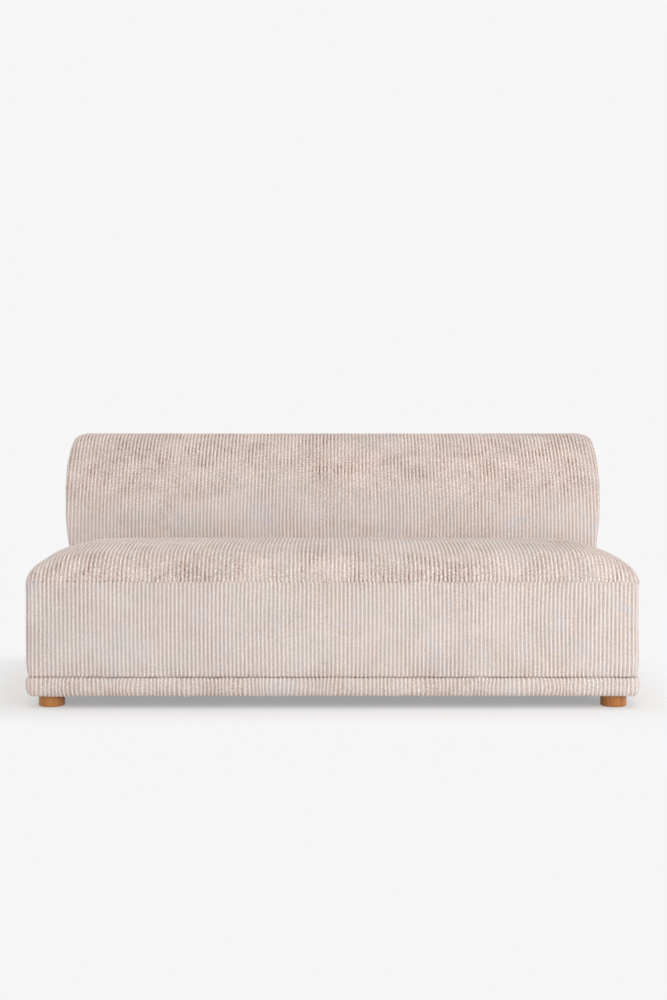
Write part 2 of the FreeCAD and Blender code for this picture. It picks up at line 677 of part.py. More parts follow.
def side_wedge(side):
    """A tall block that takes in one side of the base, cut off at 45 degrees through its corners."""
    out, reach = 60, 200
    x, front, rear = place("half_width"), place("front"), place("rear")
    corners = {
        "front": [(-x - out, front - out), (x + out, front - out), (x - reach, front + reach),
                  (-x + reach, front + reach)],
        "rear": [(-x - out, rear + out), (-x + reach, rear - reach), (x - reach, rear - reach),
                 (x + out, rear + out)],
        "left": [(-x - out, front - out), (-x + reach, front + reach), (-x + reach, rear - reach),
                 (-x - out, rear + out)],
        "right": [(x + out, front - out), (x + out, rear + out), (x - reach, rear - reach),
                  (x - reach, front + reach)],
    }[side]
    points = [Vector(px, py, 0) for px, py in corners]
    return Part.Face(Part.makePolygon(points + points[:1])).extrude(Vector(0, 0, place("crest")))


def in_four(name, ring):
    """One piece for each side of a ring round the base."""
    return [made(f"{name}_{side}", ring.common(side_wedge(side)).Solids[0])
            for side in ("front", "left", "right", "rear")]


def block(low_x, high_x, low_y, high_y, low_z, high_z):
    return Part.makeBox(high_x - low_x, high_y - low_y, high_z - low_z, Vector(low_x, low_y, low_z))


cover, gap = size("cover_thickness"), size("soft_gap")
frame_space = block(-place("frame_half"), place("frame_half"), place("frame_front"), place("frame_rear"),
                    place("frame_bottom"), place("seam"))
base_covers = in_four("base_cover", base_body(0).cut(base_body(cover)))
base_pads = in_four("base_pad", base_body(cover + gap).cut(frame_space))

tuck_opening = base_prism(size("band_tuck"), place("band_bottom") - 1, place("frame_bottom"))
band_covers = in_four("band_cover", band_body(0).cut(band_body(cover)).cut(tuck_opening).cut(frame_space))
band_rolls = in_four("band_roll", band_body(cover + gap).cut(frame_space))

# Soft forms of the seat

SIDE_BULGE, SIDE_SHARPNESS = 1.27, 3.36


def seat_section(x, inset, rise, rear):
    """The seat's outline across X at one place: the front roll, the top and its fall to the back."""
    front = place("front") + inset
    bottom = place("seam")
    roll, high = size("roll_depth") - inset, size("roll_height") - inset
    crown = size("crown_rise") - inset
    crown_y = place("front") + size("crown_setback")
    radius = (roll ** 2 + high ** 2) / (2 * roll)
    half_turn = math.atan2(roll, high)
    top_radius = ((crown_y - front - roll) ** 2 + (crown - high) ** 2) / (2 * (crown - high))
    rear_radius = (place("back_front") - crown_y) ** 2 / (2 * size("rear_fall"))

    def point(y, height):
        return Vector(x, y, bottom + rise * height)

    def on_top(y, curve):
        return point(y, crown - (y - crown_y) ** 2 / (2 * curve))

    start, end = point(front, 0), point(front + roll, high)
    roll_middle = point(front + radius * (1 - math.cos(half_turn)), radius * math.sin(half_turn))
    top = point(crown_y, crown)
    tail = on_top(rear, rear_radius)
    foot = Vector(x, rear, bottom)
    edges = [
        Part.Arc(start, roll_middle, end).toShape(),
        Part.Arc(end, on_top((front + roll + crown_y) / 2, top_radius), top).toShape(),
        Part.Arc(top, on_top((crown_y + rear) / 2, rear_radius), tail).toShape(),
        Part.makeLine(tail, foot),
        Part.makeLine(foot, start),
    ]
    return Part.Wire(edges)


def seat_dome(inset, rear):
    """The seat above its seam, moved inwards by inset: a loft of sections whose height falls at the sides."""
    half = place("half_width") - inset
    roll = size("side_roll_depth") - inset
    edge = (size("side_edge_rise") - inset / 2) / size("crown_rise")
    steps = 12
    side = []
    for k in range(steps + 1):
        share = (k / steps) ** 1.7
        rise = max(edge, (1 - (1 - share) ** SIDE_BULGE) ** (1 / SIDE_SHARPNESS))
        side.append((half - share * roll, rise))
    across = side + [(-x, rise) for x, rise in reversed(side)]
    whole = Part.makeLoft([seat_section(x, inset, rise, rear) for x, rise in across], True, True)
    return whole.common(base_prism(inset, place("seam") - 1, place("crest")))


back_face = place("back_front")
wrap_inset = cover + gap
foam_inset = place("foam_shell")
seat_top_cover = made("seat_top_cover", seat_dome(0, back_face).cut(seat_dome(cover, back_face)).Solids[0])
seat_wrap = made("seat_fibre_wrap",
                 seat_dome(wrap_inset, back_face - gap).cut(
                     seat_dome(cover + size("wrap_thickness"), back_face)).Solids[0])


def seat_foam_shape():
    half, rear = place("frame_half") - gap, back_face - gap
    lower = block(-half, half, place("frame_front") + gap, rear, place("foam_bottom"), place("seam"))
    return seat_dome(foam_inset, rear).fuse(lower).removeSplitter().Solids[0]


seat_foam = made("seat_foam", seat_foam_shape())

# Soft forms of the back


def back_levels(inset):
    """Heights with the back's front, rear and half width there, from its arcs, moved inwards by inset."""
    straight_top = place("seam") + size("back_straight")
    crest = place("crest") - inset
    front_radius = size("back_front_radius") - inset
    crest_radius = size("crest_front_radius") - inset
    rear_radius = size("crest_rear_radius") - inset
    corner_radius = size("crest_corner_radius") - inset
    front_centre = back_face + size("back_front_radius")
    drop = crest - crest_radius - straight_top
    shift = math.sqrt((front_radius - crest_radius) ** 2 - drop ** 2)
    crest_centre = front_centre - shift
    meet = math.atan2(drop, shift)
    rear = place("rear") - inset
    widest = place("seam") + size("back_swell_height")

    def half_width(level):
        share = (level - widest) / (widest - place("seam"))
        side = place("back_half") - inset + size("back_bulge") * (1 - share ** 2)
        above = level - (crest - corner_radius)
        if above <= 0:
            return side
        return side - corner_radius + math.sqrt(max(corner_radius ** 2 - above ** 2, 0))

    def rear_face(level):
        above = level - (crest - rear_radius)
        if above <= 0:
            return rear
        return rear - rear_radius + math.sqrt(max(rear_radius ** 2 - above ** 2, 0))

    def front_face(level):
        if level <= straight_top:
            return back_face + inset
        above = level - straight_top
        if above <= front_radius * math.sin(meet):
            return front_centre - math.sqrt(front_radius ** 2 - above ** 2)
        above = level - (crest - crest_radius)
        return crest_centre - math.sqrt(max(crest_radius ** 2 - above ** 2, 0))

    steps = 8
    levels = [place("seam"), straight_top, crest - rear_radius, crest - corner_radius]
    for k in range(1, steps + 1):
        levels.append(straight_top + front_radius * math.sin(meet * k / steps))
        turn = meet + (math.pi / 2 - meet) * k / steps
        levels.append(crest - crest_radius * (1 - math.sin(turn)))
    return [(level, half_width(level), front_face(level), rear_face(level)) for level in sorted(levels)]


def back_block(inset):
    wires = []
    for level, half_width, front, rear in back_levels(inset):
        radius = min(size("back_edge_radius") - inset / 3, (rear - front) / 2.5)
        wires.append(rounded_rectangle(level, half_width, front, rear, radius))
    return Part.makeLoft(wires, True, True)


back_skin = back_block(0).cut(back_block(cover))
far = size("overall_width")
low, high = place("seam") - 1, place("crest") + 1
side_seam = place("back_half") - size("back_boxing")
crest_seam = place("rear") - size("crest_rear_radius")
inside_back_cover = made("inside_back_cover", back_skin.common(
    block(-side_seam, side_seam, place("front"), crest_seam, low, high)).Solids[0])
outside_back_cover = made("outside_back_cover", back_skin.common(
    block(-side_seam, side_seam, crest_seam, far, low, high)).Solids[0])
back_side_covers = [
    made("back_side_cover_left", back_skin.common(
        block(-far, -side_seam, place("front"), far, low, high)).Solids[0]),
    made("back_side_cover_right", back_skin.common(
        block(side_seam, far, place("front"), far, low, high)).Solids[0]),
]
back_wrap = made("back_fibre_wrap",
                 back_block(wrap_inset).cut(back_block(cover + size("wrap_thickness"))).Solids[0])

foam_rear = place("foam_rear")
frame_top = place("back_frame_top") + gap
cheek = place("inner_half") + gap
foam_half = place("back_half") - foam_inset
lower_step = block(-foam_half, foam_half, back_face + foam_inset, place("frame_rear") - gap,
                   place("foam_bottom"), place("seam"))
back_core = back_block(foam_inset).fuse(lower_step).removeSplitter()
back_foam = made("back_foam", back_core.common(
    block(-far, far, place("front"), foam_rear, 0, high)).Solids[0])
back_crest_foam = made("back_crest_foam", back_core.common(
    block(-far, far, foam_rear, far, frame_top, high)).Solids[0])
back_side_foams = [
    made("back_side_foam_left", back_core.common(
        block(-far, -cheek, foam_rear, far, 0, frame_top)).Solids[0]),
    made("back_side_foam_right", back_core.common(
        block(cheek, far, foam_rear, far, 0, frame_top)).Solids[0]),
]

# Underside


def dust_cover_shape():
    inset = size("dust_cover_inset")
    sheet = base_prism(inset, size("foot_height"), place("frame_bottom"))
    hole = Part.makeCylinder(size("bolt_radius") + size("bolt_gap"), size("dust_cover_thickness"))
    return sheet.cut(copies(hole, foot_spots(size("foot_height")))).Solids[0]


dust_cover = made("dust_cover", dust_cover_shape())


def staple_shape():
    """Staples in rows along the four sides of the underside, none where a foot stands."""
    length, wire, pitch = size("staple_length"), size("staple_wire"), size("staple_pitch")
    inset = size("staple_inset")
    level = size("foot_height") - wire
    foot_zone = size("foot_inset") + size("foot_radius") + length
    staples = []
    for half, across, along_x in (
        (place("half_width"), place("rear") - inset, True),
        (place("rear"), place("half_width") - inset, False),
    ):
        count = int((2 * (half - foot_zone)) // pitch)
        for k in range(count + 1):
            at = (k - count / 2) * pitch
            for side in (-1, 1):
                if along_x:
                    corner = Vector(at - length / 2, side * across - wire / 2, level)
                    staples.append(Part.makeBox(length, wire, wire, corner))
                else:
                    corner = Vector(side * across - wire / 2, at - length / 2, level)
                    staples.append(Part.makeBox(wire, length, wire, corner))
    return Part.makeCompound(staples)


dust_cover_staples = made("dust_cover_staples", staple_shape())

# Check every object, then write one file for each piece

doc.recompute()
for item in doc.Objects:
    if "Invalid" in item.State or "Error" in item.State:
        raise RuntimeError(f"{item.Label} failed: {item.State}")

PIECES = (
    [base_front_rail, base_rear_rail, spring_rail, corner_blocks, frame_screws, foot_boards, foot_glides]
    + side_rails + [base_cross_rails] + feet
    + [tee_nuts, hanger_bolts, seat_springs, spring_clips, spring_tie_wires, insulator_pad, edge_rolls]
    + back_posts
    + [back_top_rail, back_bottom_rail, back_mid_posts, back_rear_board]
    + [back_bolts, bolt_inserts, back_webbing]
    + base_covers + base_pads + band_covers + band_rolls
    + [seat_top_cover, seat_wrap, seat_foam, inside_back_cover, outside_back_cover, back_wrap]
    + back_side_covers + [back_foam, back_crest_foam] + back_side_foams
    + [dust_cover, dust_cover_staples]
)
for piece in PIECES:
    shape = piece.Shape
    if shape.isNull() or not shape.isValid() or not shape.Solids:
        raise RuntimeError(f"{piece.Label} has no valid solid")
    shape.exportStep(f"parts/{piece.Label}.step")
print(len(PIECES), "pieces written")
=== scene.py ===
"""An armless two-seat sofa in thick corduroy on four short round wooden feet, on a pale floor."""
import math

import bpy
import numpy as np
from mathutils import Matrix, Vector


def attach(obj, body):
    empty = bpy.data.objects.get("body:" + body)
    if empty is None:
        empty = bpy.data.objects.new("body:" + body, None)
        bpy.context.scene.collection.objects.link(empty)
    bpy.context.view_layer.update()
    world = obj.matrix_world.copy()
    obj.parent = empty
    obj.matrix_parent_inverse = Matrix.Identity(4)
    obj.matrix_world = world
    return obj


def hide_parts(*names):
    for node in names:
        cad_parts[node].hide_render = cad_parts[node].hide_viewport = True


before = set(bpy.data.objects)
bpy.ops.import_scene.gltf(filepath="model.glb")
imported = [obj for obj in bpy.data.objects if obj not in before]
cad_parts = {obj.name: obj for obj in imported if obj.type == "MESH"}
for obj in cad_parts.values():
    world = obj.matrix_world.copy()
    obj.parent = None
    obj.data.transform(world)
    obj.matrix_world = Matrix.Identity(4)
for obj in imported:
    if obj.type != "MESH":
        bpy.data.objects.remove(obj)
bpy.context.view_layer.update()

# Sizes of the base and its band, in metres, as the frame has them

HALF_WIDTH = 0.869
FRONT = -0.465
REAR = 0.465
SEAM = 0.357
CORNER_RADIUS = 0.022
LEAST_CORNER = 0.001
DRAW_IN = 0.007
DRAW_IN_HEIGHT = 0.057
PAD_DEPTH = 0.014

BAND_BOTTOM = 0.032
BAND_TOP = 0.088
BAND_LOWER_ROUND = 0.028
BAND_LOWER_WIDTH = 0.0195
BAND_SWELL = 0.0014
BAND_UPPER_ROUND = 0.012
BAND_UPPER_WIDTH = DRAW_IN + 0.001
BAND_TUCK = 0.0205
BAND_TUCK_RISE = 0.0008
BAND_TOP_RISE = 0.004
BAND_TOP_INSET = 0.016
BAND_DEPTH = 0.006
PANEL_HEIGHT = SEAM - BAND_TOP

# The base cover above its seam, where it turns in and lies flat beside the back

LEDGE_RUN = np.array([0.003, 0.010, 0.030])
LEDGE_RISE = np.array([0.0025, 0.0032, 0.0032])
LEDGE_INSETS = np.array([0.002, 0.009, 0.036])

# Sizes of the seat

ROLL_DEPTH = 0.073
ROLL_HEIGHT = 0.085
ROLL_RADIUS = (ROLL_DEPTH ** 2 + ROLL_HEIGHT ** 2) / (2 * ROLL_DEPTH)
CROWN_RISE = 0.107
CROWN_SETBACK = 0.332
REAR_FALL = 0.013
SIDE_ROLL_DEPTH = 0.165
SIDE_BULGE = 1.27
SIDE_SHARPNESS = 3.05
SEAT_UNDERSIDE = SEAM - 0.006
SEAT_REAR_FOOT = SEAM + 0.004

# Sizes of the back

CREST = 0.800
BACK_FRONT = 0.132
BACK_HALF = 0.876
BACK_WIDEST = 0.70
BACK_NARROWING = 0.225
BACK_STRAIGHT = 0.106
BACK_FRONT_RADIUS = 0.400
BACK_FOOT = SEAM - 0.004
CREST_FRONT_RADIUS = 0.132
CREST_REAR_RADIUS = 0.075
BACK_EDGE = 0.014
CREST_EDGE_WIDTH = 0.057
CREST_EDGE_DROP = 0.025
CREST_EDGE_FOOT = 0.69
BOXING_DEPTH = 0.010
BOXING_INSET = 0.004
BOXING_SWELL = 0.006
SEAT_REAR = BACK_FRONT + 0.008

# The covers' simulation as cloth over their filling, and how far each cover may move in it

CLOTH_FRAMES = 20
CLOTH_PRESSURE = 0.5
CLOTH_EASE = 0.006
CLOTH_REACH = 9.0
PANEL_CAP = 0.0012
SEAT_CAP = 0.0019
BACK_CAP = 0.0017

# The corduroy

RIB_PITCH = 0.01173
RIB_HEIGHT = 0.0022
RIB_ROUNDNESS = 1.9
RIB_STEPS = (0.0, 0.07, 0.18, 0.34, 0.50, 0.66, 0.82, 0.93)
NAP = 0.00025
SEAT_SHIFT = 0.37
BACK_SHIFT = 0.21

# Seams: how far each kind turns in on the ribs and how much more between them, how far that
# reaches to its side, and the rise beyond it where the ribs bunch

SEAT_SEAM = (0.0002, 0.0013)
BAND_SEAM = (0.0008, 0.0018)
GATHERED_SEAM = (0.0006, 0.0016)
BACK_SEAM = (0.0004, 0.0014)
SEAM_REACH = 0.0026
BUNCH_HEIGHT = 0.0007
BUNCH_PLACE = 0.0055
BUNCH_WIDTH = 0.003

# Distances from a seam at which a rib has points, close together beside it

SEAM_STEPS = (0.0, 0.0009, 0.0018, 0.0030, 0.0045, 0.0070, 0.0110, 0.0170)
ROLL_STEPS = (0.0, 0.0009, 0.0019, 0.0031, 0.0046, 0.0064, 0.0086, 0.0112, 0.0145)
BOXING_STEPS = (0.0, 0.002, 0.005, 0.010, 0.018, 0.030)

# Large odd factors that scatter a cell's place over the whole numbers

COLUMN_FACTOR = 374761393
ROW_FACTOR = 668265263
SEED_FACTOR = 69069
SEED_START = 12345
SCATTER_FACTOR = 1274126177
LARGEST_CELL_VALUE = 0xFFFFFF


# Smooth noise, the same on every run

def cell_value(column, row, seed):
    """One number from 0 to 1 for each cell of a grid, from its place and the seed alone."""
    mixed = column.astype(np.int64) * COLUMN_FACTOR + row.astype(np.int64) * ROW_FACTOR
    mixed = mixed + (seed * SEED_FACTOR + SEED_START)
    mixed = (mixed ^ (mixed >> 13)) * SCATTER_FACTOR
    mixed = (mixed ^ (mixed >> 16)) & LARGEST_CELL_VALUE
    return mixed / float(LARGEST_CELL_VALUE)


def noise(x, y, seed):
    """Smooth noise from -1 to 1 with cells of one unit."""
    left, low = np.floor(x), np.floor(y)
    across, up = x - left, y - low
    across = across * across * (3 - 2 * across)
    up = up * up * (3 - 2 * up)
    corners = [cell_value(left + dx, low + dy, seed) for dy in (0, 1) for dx in (0, 1)]
    lower = corners[0] * (1 - across) + corners[1] * across
    upper = corners[2] * (1 - across) + corners[3] * across
    return 2 * (lower * (1 - up) + upper * up) - 1


def smooth(low, high, value):
    """A soft step from 0 at low to 1 at high."""
    share = np.clip((value - low) / (high - low), 0, 1)
    return share * share * (3 - 2 * share)


# Lines and grids of points

def unit(vectors):
    length = np.linalg.norm(vectors, axis=-1, keepdims=True)
    return vectors / np.maximum(length, 1e-9)


def grid_normals(points):
    along_rows = np.gradient(points, axis=0)
    along_columns = np.gradient(points, axis=1)
    return unit(np.cross(along_columns, along_rows))


def grid_faces(rows, columns):
    """The numbers of a grid's points, and the four-sided faces between them."""
    index = np.arange(rows * columns).reshape(rows, columns)
    quads = np.stack([index[:-1, :-1], index[:-1, 1:], index[1:, 1:], index[1:, :-1]], axis=-1)
    return index, quads.reshape(-1, 4)


def run_along(line):
    """The distance of each of a line's points from its first one, along the line."""
    steps = np.linalg.norm(np.diff(line, axis=0), axis=1)
    return np.concatenate([[0.0], np.cumsum(steps)])


def points_at(line, run, places):
    """Points on a line at these distances along it."""
    return np.stack([np.interp(places, run, part) for part in line.T], axis=-1)


def even_steps(line, count):
    """This many points at even steps along a line."""
    run = run_along(line)
    return points_at(line, run, np.linspace(0.0, run[-1], count))


def even_grid(lines, row_count, column_count):
    """The surface through these lines as a coarse grid, with even steps along and across it."""
    across = np.array([even_steps(line, column_count) for line in lines])
    run = run_along(across[:, column_count // 2])
    even = np.linspace(0.0, run[-1], row_count)
    low = np.clip(np.searchsorted(run, even, side="right") - 1, 0, len(run) - 2)
    share = ((even - run[low]) / np.maximum(run[low + 1] - run[low], 1e-9))[:, None, None]
    return across[low] * (1 - share) + across[low + 1] * share


def spread_over(grid, down, across):
    """Values of a coarse grid at shares 0 to 1 down and across it."""
    rows, columns = grid.shape
    row = np.clip(down, 0, 1) * (rows - 1)
    column = np.clip(across, 0, 1) * (columns - 1)
    above = np.minimum(row.astype(int), rows - 2)
    left = np.minimum(column.astype(int), columns - 2)
    down_share, across_share = row - above, column - left
    upper = grid[above, left] * (1 - across_share) + grid[above, left + 1] * across_share
    lower = grid[above + 1, left] * (1 - across_share) + grid[above + 1, left + 1] * across_share
    return upper * (1 - down_share) + lower * down_share


def repeat_rows(keep, *fields):
    """Each field with some of its own rows once more at its end."""
    return [np.concatenate([field, field[keep]]) for field in fields]


def full_width(values, phase):
    """One value for each row, repeated across it."""
    return np.repeat(values[:, None], phase.shape[1], axis=1)


def new_mesh(name, points, faces, material=None):
    """A smooth mesh of these faces between points."""
    mesh = bpy.data.meshes.new(name)
    mesh.from_pydata(points.reshape(-1, 3).tolist(), [], faces)
    mesh.polygons.foreach_set("use_smooth", [True] * len(faces))
    if material:
        mesh.materials.append(material)
    return mesh


def add_object(name, data):
    made = bpy.data.objects.new(name, data)
    bpy.context.collection.objects.link(made)
    return made


def shell(name, points, phase, along, spread, material):
    """A closed piece: the rows go once round it, and a flat cap closes each end.

    spread is 0 where the pile lies closed and 1 where a curve opens it.
    """
    index = np.arange(phase.size).reshape(phase.shape)
    after = np.roll(index, -1, axis=0)
    quads = np.stack([index[:, :-1], index[:, 1:], after[:, 1:], after[:, :-1]], axis=-1)
    faces = quads.reshape(-1, 4).tolist()
    faces.append(index[:, 0].tolist())
    faces.append(index[::-1, -1].tolist())
    mesh = new_mesh(name, points, faces, material)
    for label, values in (("rib", phase), ("along", along), ("spread", spread)):
        layer = mesh.attributes.new(label, "FLOAT", "POINT")
        layer.data.foreach_set("value", values.astype(np.float32).ravel())
    mesh.update()
    piece = add_object(name, mesh)
    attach(piece, "root")
    return piece


# Materials

def new_material(name):
    material = bpy.data.materials.new(name)
    material.use_nodes = True
    nodes = material.node_tree.nodes
    nodes.clear()
    output = nodes.new("ShaderNodeOutputMaterial")
    output.name = "output"
    shader = nodes.new("ShaderNodeBsdfPrincipled")
    material.node_tree.links.new(shader.outputs["BSDF"], output.inputs["Surface"])
    return material, shader


def set_values(node, values):
    for name, value in values.items():
        node.inputs[name].default_value = value


class Nodes:
    """Short calls for building the nodes of one material or world."""

    def __init__(self, owner):
        self.tree = owner.node_tree

    def link(self, source, target):
        self.tree.links.new(source, target)

    def fill(self, socket, value):
        if isinstance(value, bpy.types.NodeSocket):
            self.link(value, socket)
        else:
            socket.default_value = value

    def node(self, kind, **settings):
        made = self.tree.nodes.new(kind)
        for key, value in settings.items():
            setattr(made, key, value)
        return made

    def math(self, operation, first, second=0.0, third=0.0):
        made = self.node("ShaderNodeMath", operation=operation)
        for socket, value in zip(made.inputs, (first, second, third)):
            self.fill(socket, value)
        return made.outputs[0]

    def times(self, first, second):
        return self.math("MULTIPLY", first, second)

    def range(self, value, low, high, new_low=0.0, new_high=1.0, smoothly=True):
        kind = "SMOOTHSTEP" if smoothly else "LINEAR"
        made = self.node("ShaderNodeMapRange", interpolation_type=kind)
        for key, given in (("Value", value), ("From Min", low), ("From Max", high),
                           ("To Min", new_low), ("To Max", new_high)):
            self.fill(made.inputs[key], given)
        return made.outputs["Result"]

    def mix(self, share, first, second, blend="MIX"):
        """Two colours mixed; the node keeps them at sockets 6 and 7 and gives its colour at 2."""
        made = self.node("ShaderNodeMix", data_type="RGBA", blend_type=blend)
        self.fill(made.inputs[0], share)
        for socket, value in ((made.inputs[6], first), (made.inputs[7], second)):
            self.fill(socket, (*value, 1.0) if isinstance(value, tuple) else value)
        return made.outputs[2]

    def place(self, scale=(1, 1, 1), shift=(0, 0, 0)):
        """Points of the object, scaled and shifted."""
        where = self.node("ShaderNodeTexCoord")
        mapping = self.node("ShaderNodeMapping")
        set_values(mapping, {"Scale": scale, "Location": shift})
        self.link(where.outputs["Object"], mapping.inputs["Vector"])
        return mapping.outputs["Vector"]

    def noise(self, vector, scale, detail, roughness, distortion=0.0):
        made = self.node("ShaderNodeTexNoise")
        self.link(vector, made.inputs["Vector"])
        set_values(made, {"Scale": scale, "Detail": detail, "Roughness": roughness,
                          "Distortion": distortion})
        return made.outputs["Fac"]

    def bump(self, height, strength, distance, normal=None):
        made = self.node("ShaderNodeBump")
        set_values(made, {"Strength": strength, "Distance": distance})
        self.link(height, made.inputs["Height"])
        if normal is not None:
            self.link(normal, made.inputs["Normal"])
        return made.outputs["Normal"]


def wire(make, shader, tone, rough, normal):
    for name, source in (("Base Color", tone), ("Roughness", rough), ("Normal", normal)):
        make.link(source, shader.inputs[name])


def srgb(red, green, blue):
    """A colour given as it shows on screen, 0 to 255."""
    def linear(value):
        value /= 255
        return value / 12.92 if value <= 0.04045 else ((value + 0.055) / 1.055) ** 2.4
    return (linear(red), linear(green), linear(blue))


def corduroy(name):
    """The ribbed pile, from each point's place on its rib and how far the pile is opened there."""
    material, shader = new_material(name)
    make = Nodes(material)
    rib, along, spread = (
        make.node("ShaderNodeAttribute", attribute_name=label).outputs["Fac"]
        for label in ("rib", "along", "spread"))
    position = make.place()

    def on_rib(across, lengthwise, detail, roughness, shift):
        """Noise that follows the ribs: cells to a rib, and cells to a metre along it."""
        joined = make.node("ShaderNodeCombineXYZ")
        make.link(make.times(rib, across), joined.inputs[0])
        make.link(make.times(along, lengthwise), joined.inputs[1])
        joined.inputs[2].default_value = shift
        return make.noise(joined.outputs[0], 1.0, detail, roughness)

    inside = make.math("FRACT", rib)
    from_crest = make.math("ABSOLUTE", make.math("SUBTRACT", inside, 0.5))
    # the hollows between the ribs, darkened partly by their own colour and partly by painted shade
    valley = make.range(from_crest, 0.18, 0.46)
    # where the painted highlight runs, just past each rib's crest
    highlight_ridge = make.range(make.math("ABSOLUTE", make.math("SUBTRACT", inside, 0.61)), 0.16, 0.02)

    # patches where the pile lies another way, from a hand's width to the size of a plate
    broad = make.noise(position, 4.5, 3.0, 0.55, 0.6)
    middle = make.noise(make.place(shift=(3.1, 1.7, 5.2)), 11.0, 3.0, 0.6, 0.8)
    hue = make.noise(make.place(shift=(7.7, 4.1, 9.3)), 7.5, 2.0, 0.5, 0.4)
    small = make.noise(make.place(shift=(2.2, 8.8, 0.4)), 34.0, 3.0, 0.65)
    streak = on_rib(0.45, 22.0, 2.0, 0.6, 21.0)

    pale = srgb(219, 208, 203)
    peach = srgb(217, 201, 193)
    lavender = srgb(207, 202, 204)
    green = srgb(208, 203, 195)
    tone = make.mix(make.range(broad, 0.40, 0.62), pale, peach)
    tone = make.mix(make.range(middle, 0.50, 0.68, 0.0, 0.85), tone, lavender)
    tone = make.mix(make.range(hue, 0.54, 0.68, 0.0, 0.65), tone, green)
    tone = make.mix(make.range(streak, 0.54, 0.70, 0.0, 0.55), tone, peach)

    # where a curve opens the pile its warmer sides show
    tone = make.mix(make.times(spread, 0.62), tone, srgb(223, 199, 187))

    # the ground between the ribs is darker, partly its own colour and partly painted shade of the
    # hollows, and browner where a curve opens the pile
    broken = on_rib(1.3, 60.0, 3.0, 0.65, 1.0)
    patchy = make.times(make.range(middle, 0.36, 0.58, 1.0, 0.30),
                        make.range(small, 0.36, 0.58, 0.35, 1.0))
    least_open = make.range(spread, 0.20, 0.75, 0.75, 0.50)
    open_share = make.times(patchy, make.range(broken, 0.34, 0.60, least_open, 1.0))
    ground_and_shade = make.mix(spread, srgb(188, 172, 166), srgb(142, 102, 82))
    # the painted shade between the ribs is deeper where the pile is opened
    depth = make.range(spread, 0.0, 1.0, 0.50, 1.0, False)
    ground_and_shade_share = make.times(make.times(valley, open_share), depth)
    tone = make.mix(ground_and_shade_share, tone, ground_and_shade)

    # a painted highlight: one thin broken line along each rib, just past its crest, where the
    # pile's tips catch the light
    least_tip_highlight = make.range(spread, 0.20, 0.75, 0.80, 0.38)
    tip_highlight = make.range(on_rib(0.9, 80.0, 3.0, 0.7, 5.0), 0.34, 0.60, least_tip_highlight, 1.0)
    tip_highlight = make.times(highlight_ridge, tip_highlight)
    tone = make.mix(tip_highlight, tone, srgb(246, 241, 238))

    # single tufts and loose fibres, lighter and darker, over areas brushed one way or the other
    fibre = make.noise(position, 330.0, 2.0, 0.7)
    tuft = on_rib(3.1, 270.0, 2.0, 0.6, 9.0)
    strength = make.range(spread, 0.0, 1.0, 0.36, 1.6, False)
    flecks = make.math("ADD", make.range(fibre, 0.28, 0.72, -0.20, 0.20, False),
                       make.range(tuft, 0.28, 0.72, -0.34, 0.34, False))
    brushed_place = make.place(shift=(9.1, 0.6, 3.3), scale=(1.0, 1.0, 1.4))
    brushed = make.noise(brushed_place, 9.0, 3.0, 0.6, 0.5)
    flecks = make.math("ADD", flecks, make.range(brushed, 0.34, 0.66, -0.055, 0.055, False))
    light = make.math("MULTIPLY_ADD", flecks, strength, 1.0)
    grey_light = make.node("ShaderNodeCombineColor")
    for socket in grey_light.inputs[:3]:
        make.link(light, socket)
    tone = make.mix(1.0, tone, grey_light.outputs[0], "MULTIPLY")

    # where the pile is opened, some tufts part to brown, and on others a painted glint shines
    # nearly white
    parted = make.range(on_rib(1.6, 150.0, 2.0, 0.6, 13.0), 0.42, 0.26)
    parted = make.times(parted, spread)
    tone = make.mix(make.times(parted, 0.8), tone, srgb(168, 124, 102))
    tuft_glint = make.range(on_rib(2.0, 170.0, 2.0, 0.6, 17.0), 0.60, 0.74)
    tuft_glint = make.times(tuft_glint, spread)
    tone = make.mix(make.times(tuft_glint, 0.6), tone, srgb(252, 247, 243))

    set_values(shader, {"Specular IOR Level": 0.2, "Sheen Weight": 0.25, "Sheen Roughness": 0.45,
                        "Sheen Tint": (1.0, 0.97, 0.95, 1.0)})
    # short lengths of pile along each rib
    normal = make.bump(on_rib(3.0, 330.0, 2.0, 0.6, 0.0), 0.6, 0.0008)
    normal = make.bump(fibre, 0.4, 0.0005, normal)
    wire(make, shader, tone, make.range(broad, 0.3, 0.7, 0.82, 0.96), normal)
    return material


def beech(name):
    material, shader = new_material(name)
    make = Nodes(material)
    rings = make.noise(make.place(scale=(26.0, 26.0, 5.0)), 1.0, 3.0, 0.55, 1.2)
    pore_place = make.place(scale=(160.0, 160.0, 1200.0), shift=(1.0, 4.0, 2.0))
    pores = make.noise(pore_place, 1.0, 2.0, 0.6)
    broad = make.noise(make.place(scale=(1.0, 1.0, 9.0)), 9.0, 2.0, 0.5)
    tone = make.mix(make.range(rings, 0.35, 0.68), srgb(192, 124, 58), srgb(166, 95, 37))
    tone = make.mix(make.range(broad, 0.4, 0.7, 0.0, 0.5), tone, srgb(204, 140, 70))
    tone = make.mix(make.range(pores, 0.62, 0.75, 0.0, 0.45), tone, srgb(142, 84, 36))
    set_values(shader, {"Coat Weight": 0.15, "Coat Roughness": 0.3})
    rough = make.range(rings, 0.3, 0.7, 0.38, 0.5)
    wire(make, shader, tone, rough, make.bump(pores, 0.25, 0.0002))
    return material


def plain_wood(name, light, dark, scale=(3.0, 40.0, 40.0)):
    material, shader = new_material(name)
    make = Nodes(material)
    grain = make.noise(make.place(scale=scale), 1.0, 4.0, 0.6, 0.8)
    knots = make.noise(make.place(shift=(4, 2, 7)), 14.0, 2.0, 0.5, 0.5)
    tone = make.mix(make.range(grain, 0.3, 0.7), light, dark)
    tone = make.mix(make.range(knots, 0.66, 0.8, 0.0, 0.6), tone, srgb(120, 82, 50))
    rough = make.range(grain, 0.3, 0.7, 0.6, 0.78)
    wire(make, shader, tone, rough, make.bump(grain, 0.3, 0.0005))
    return material


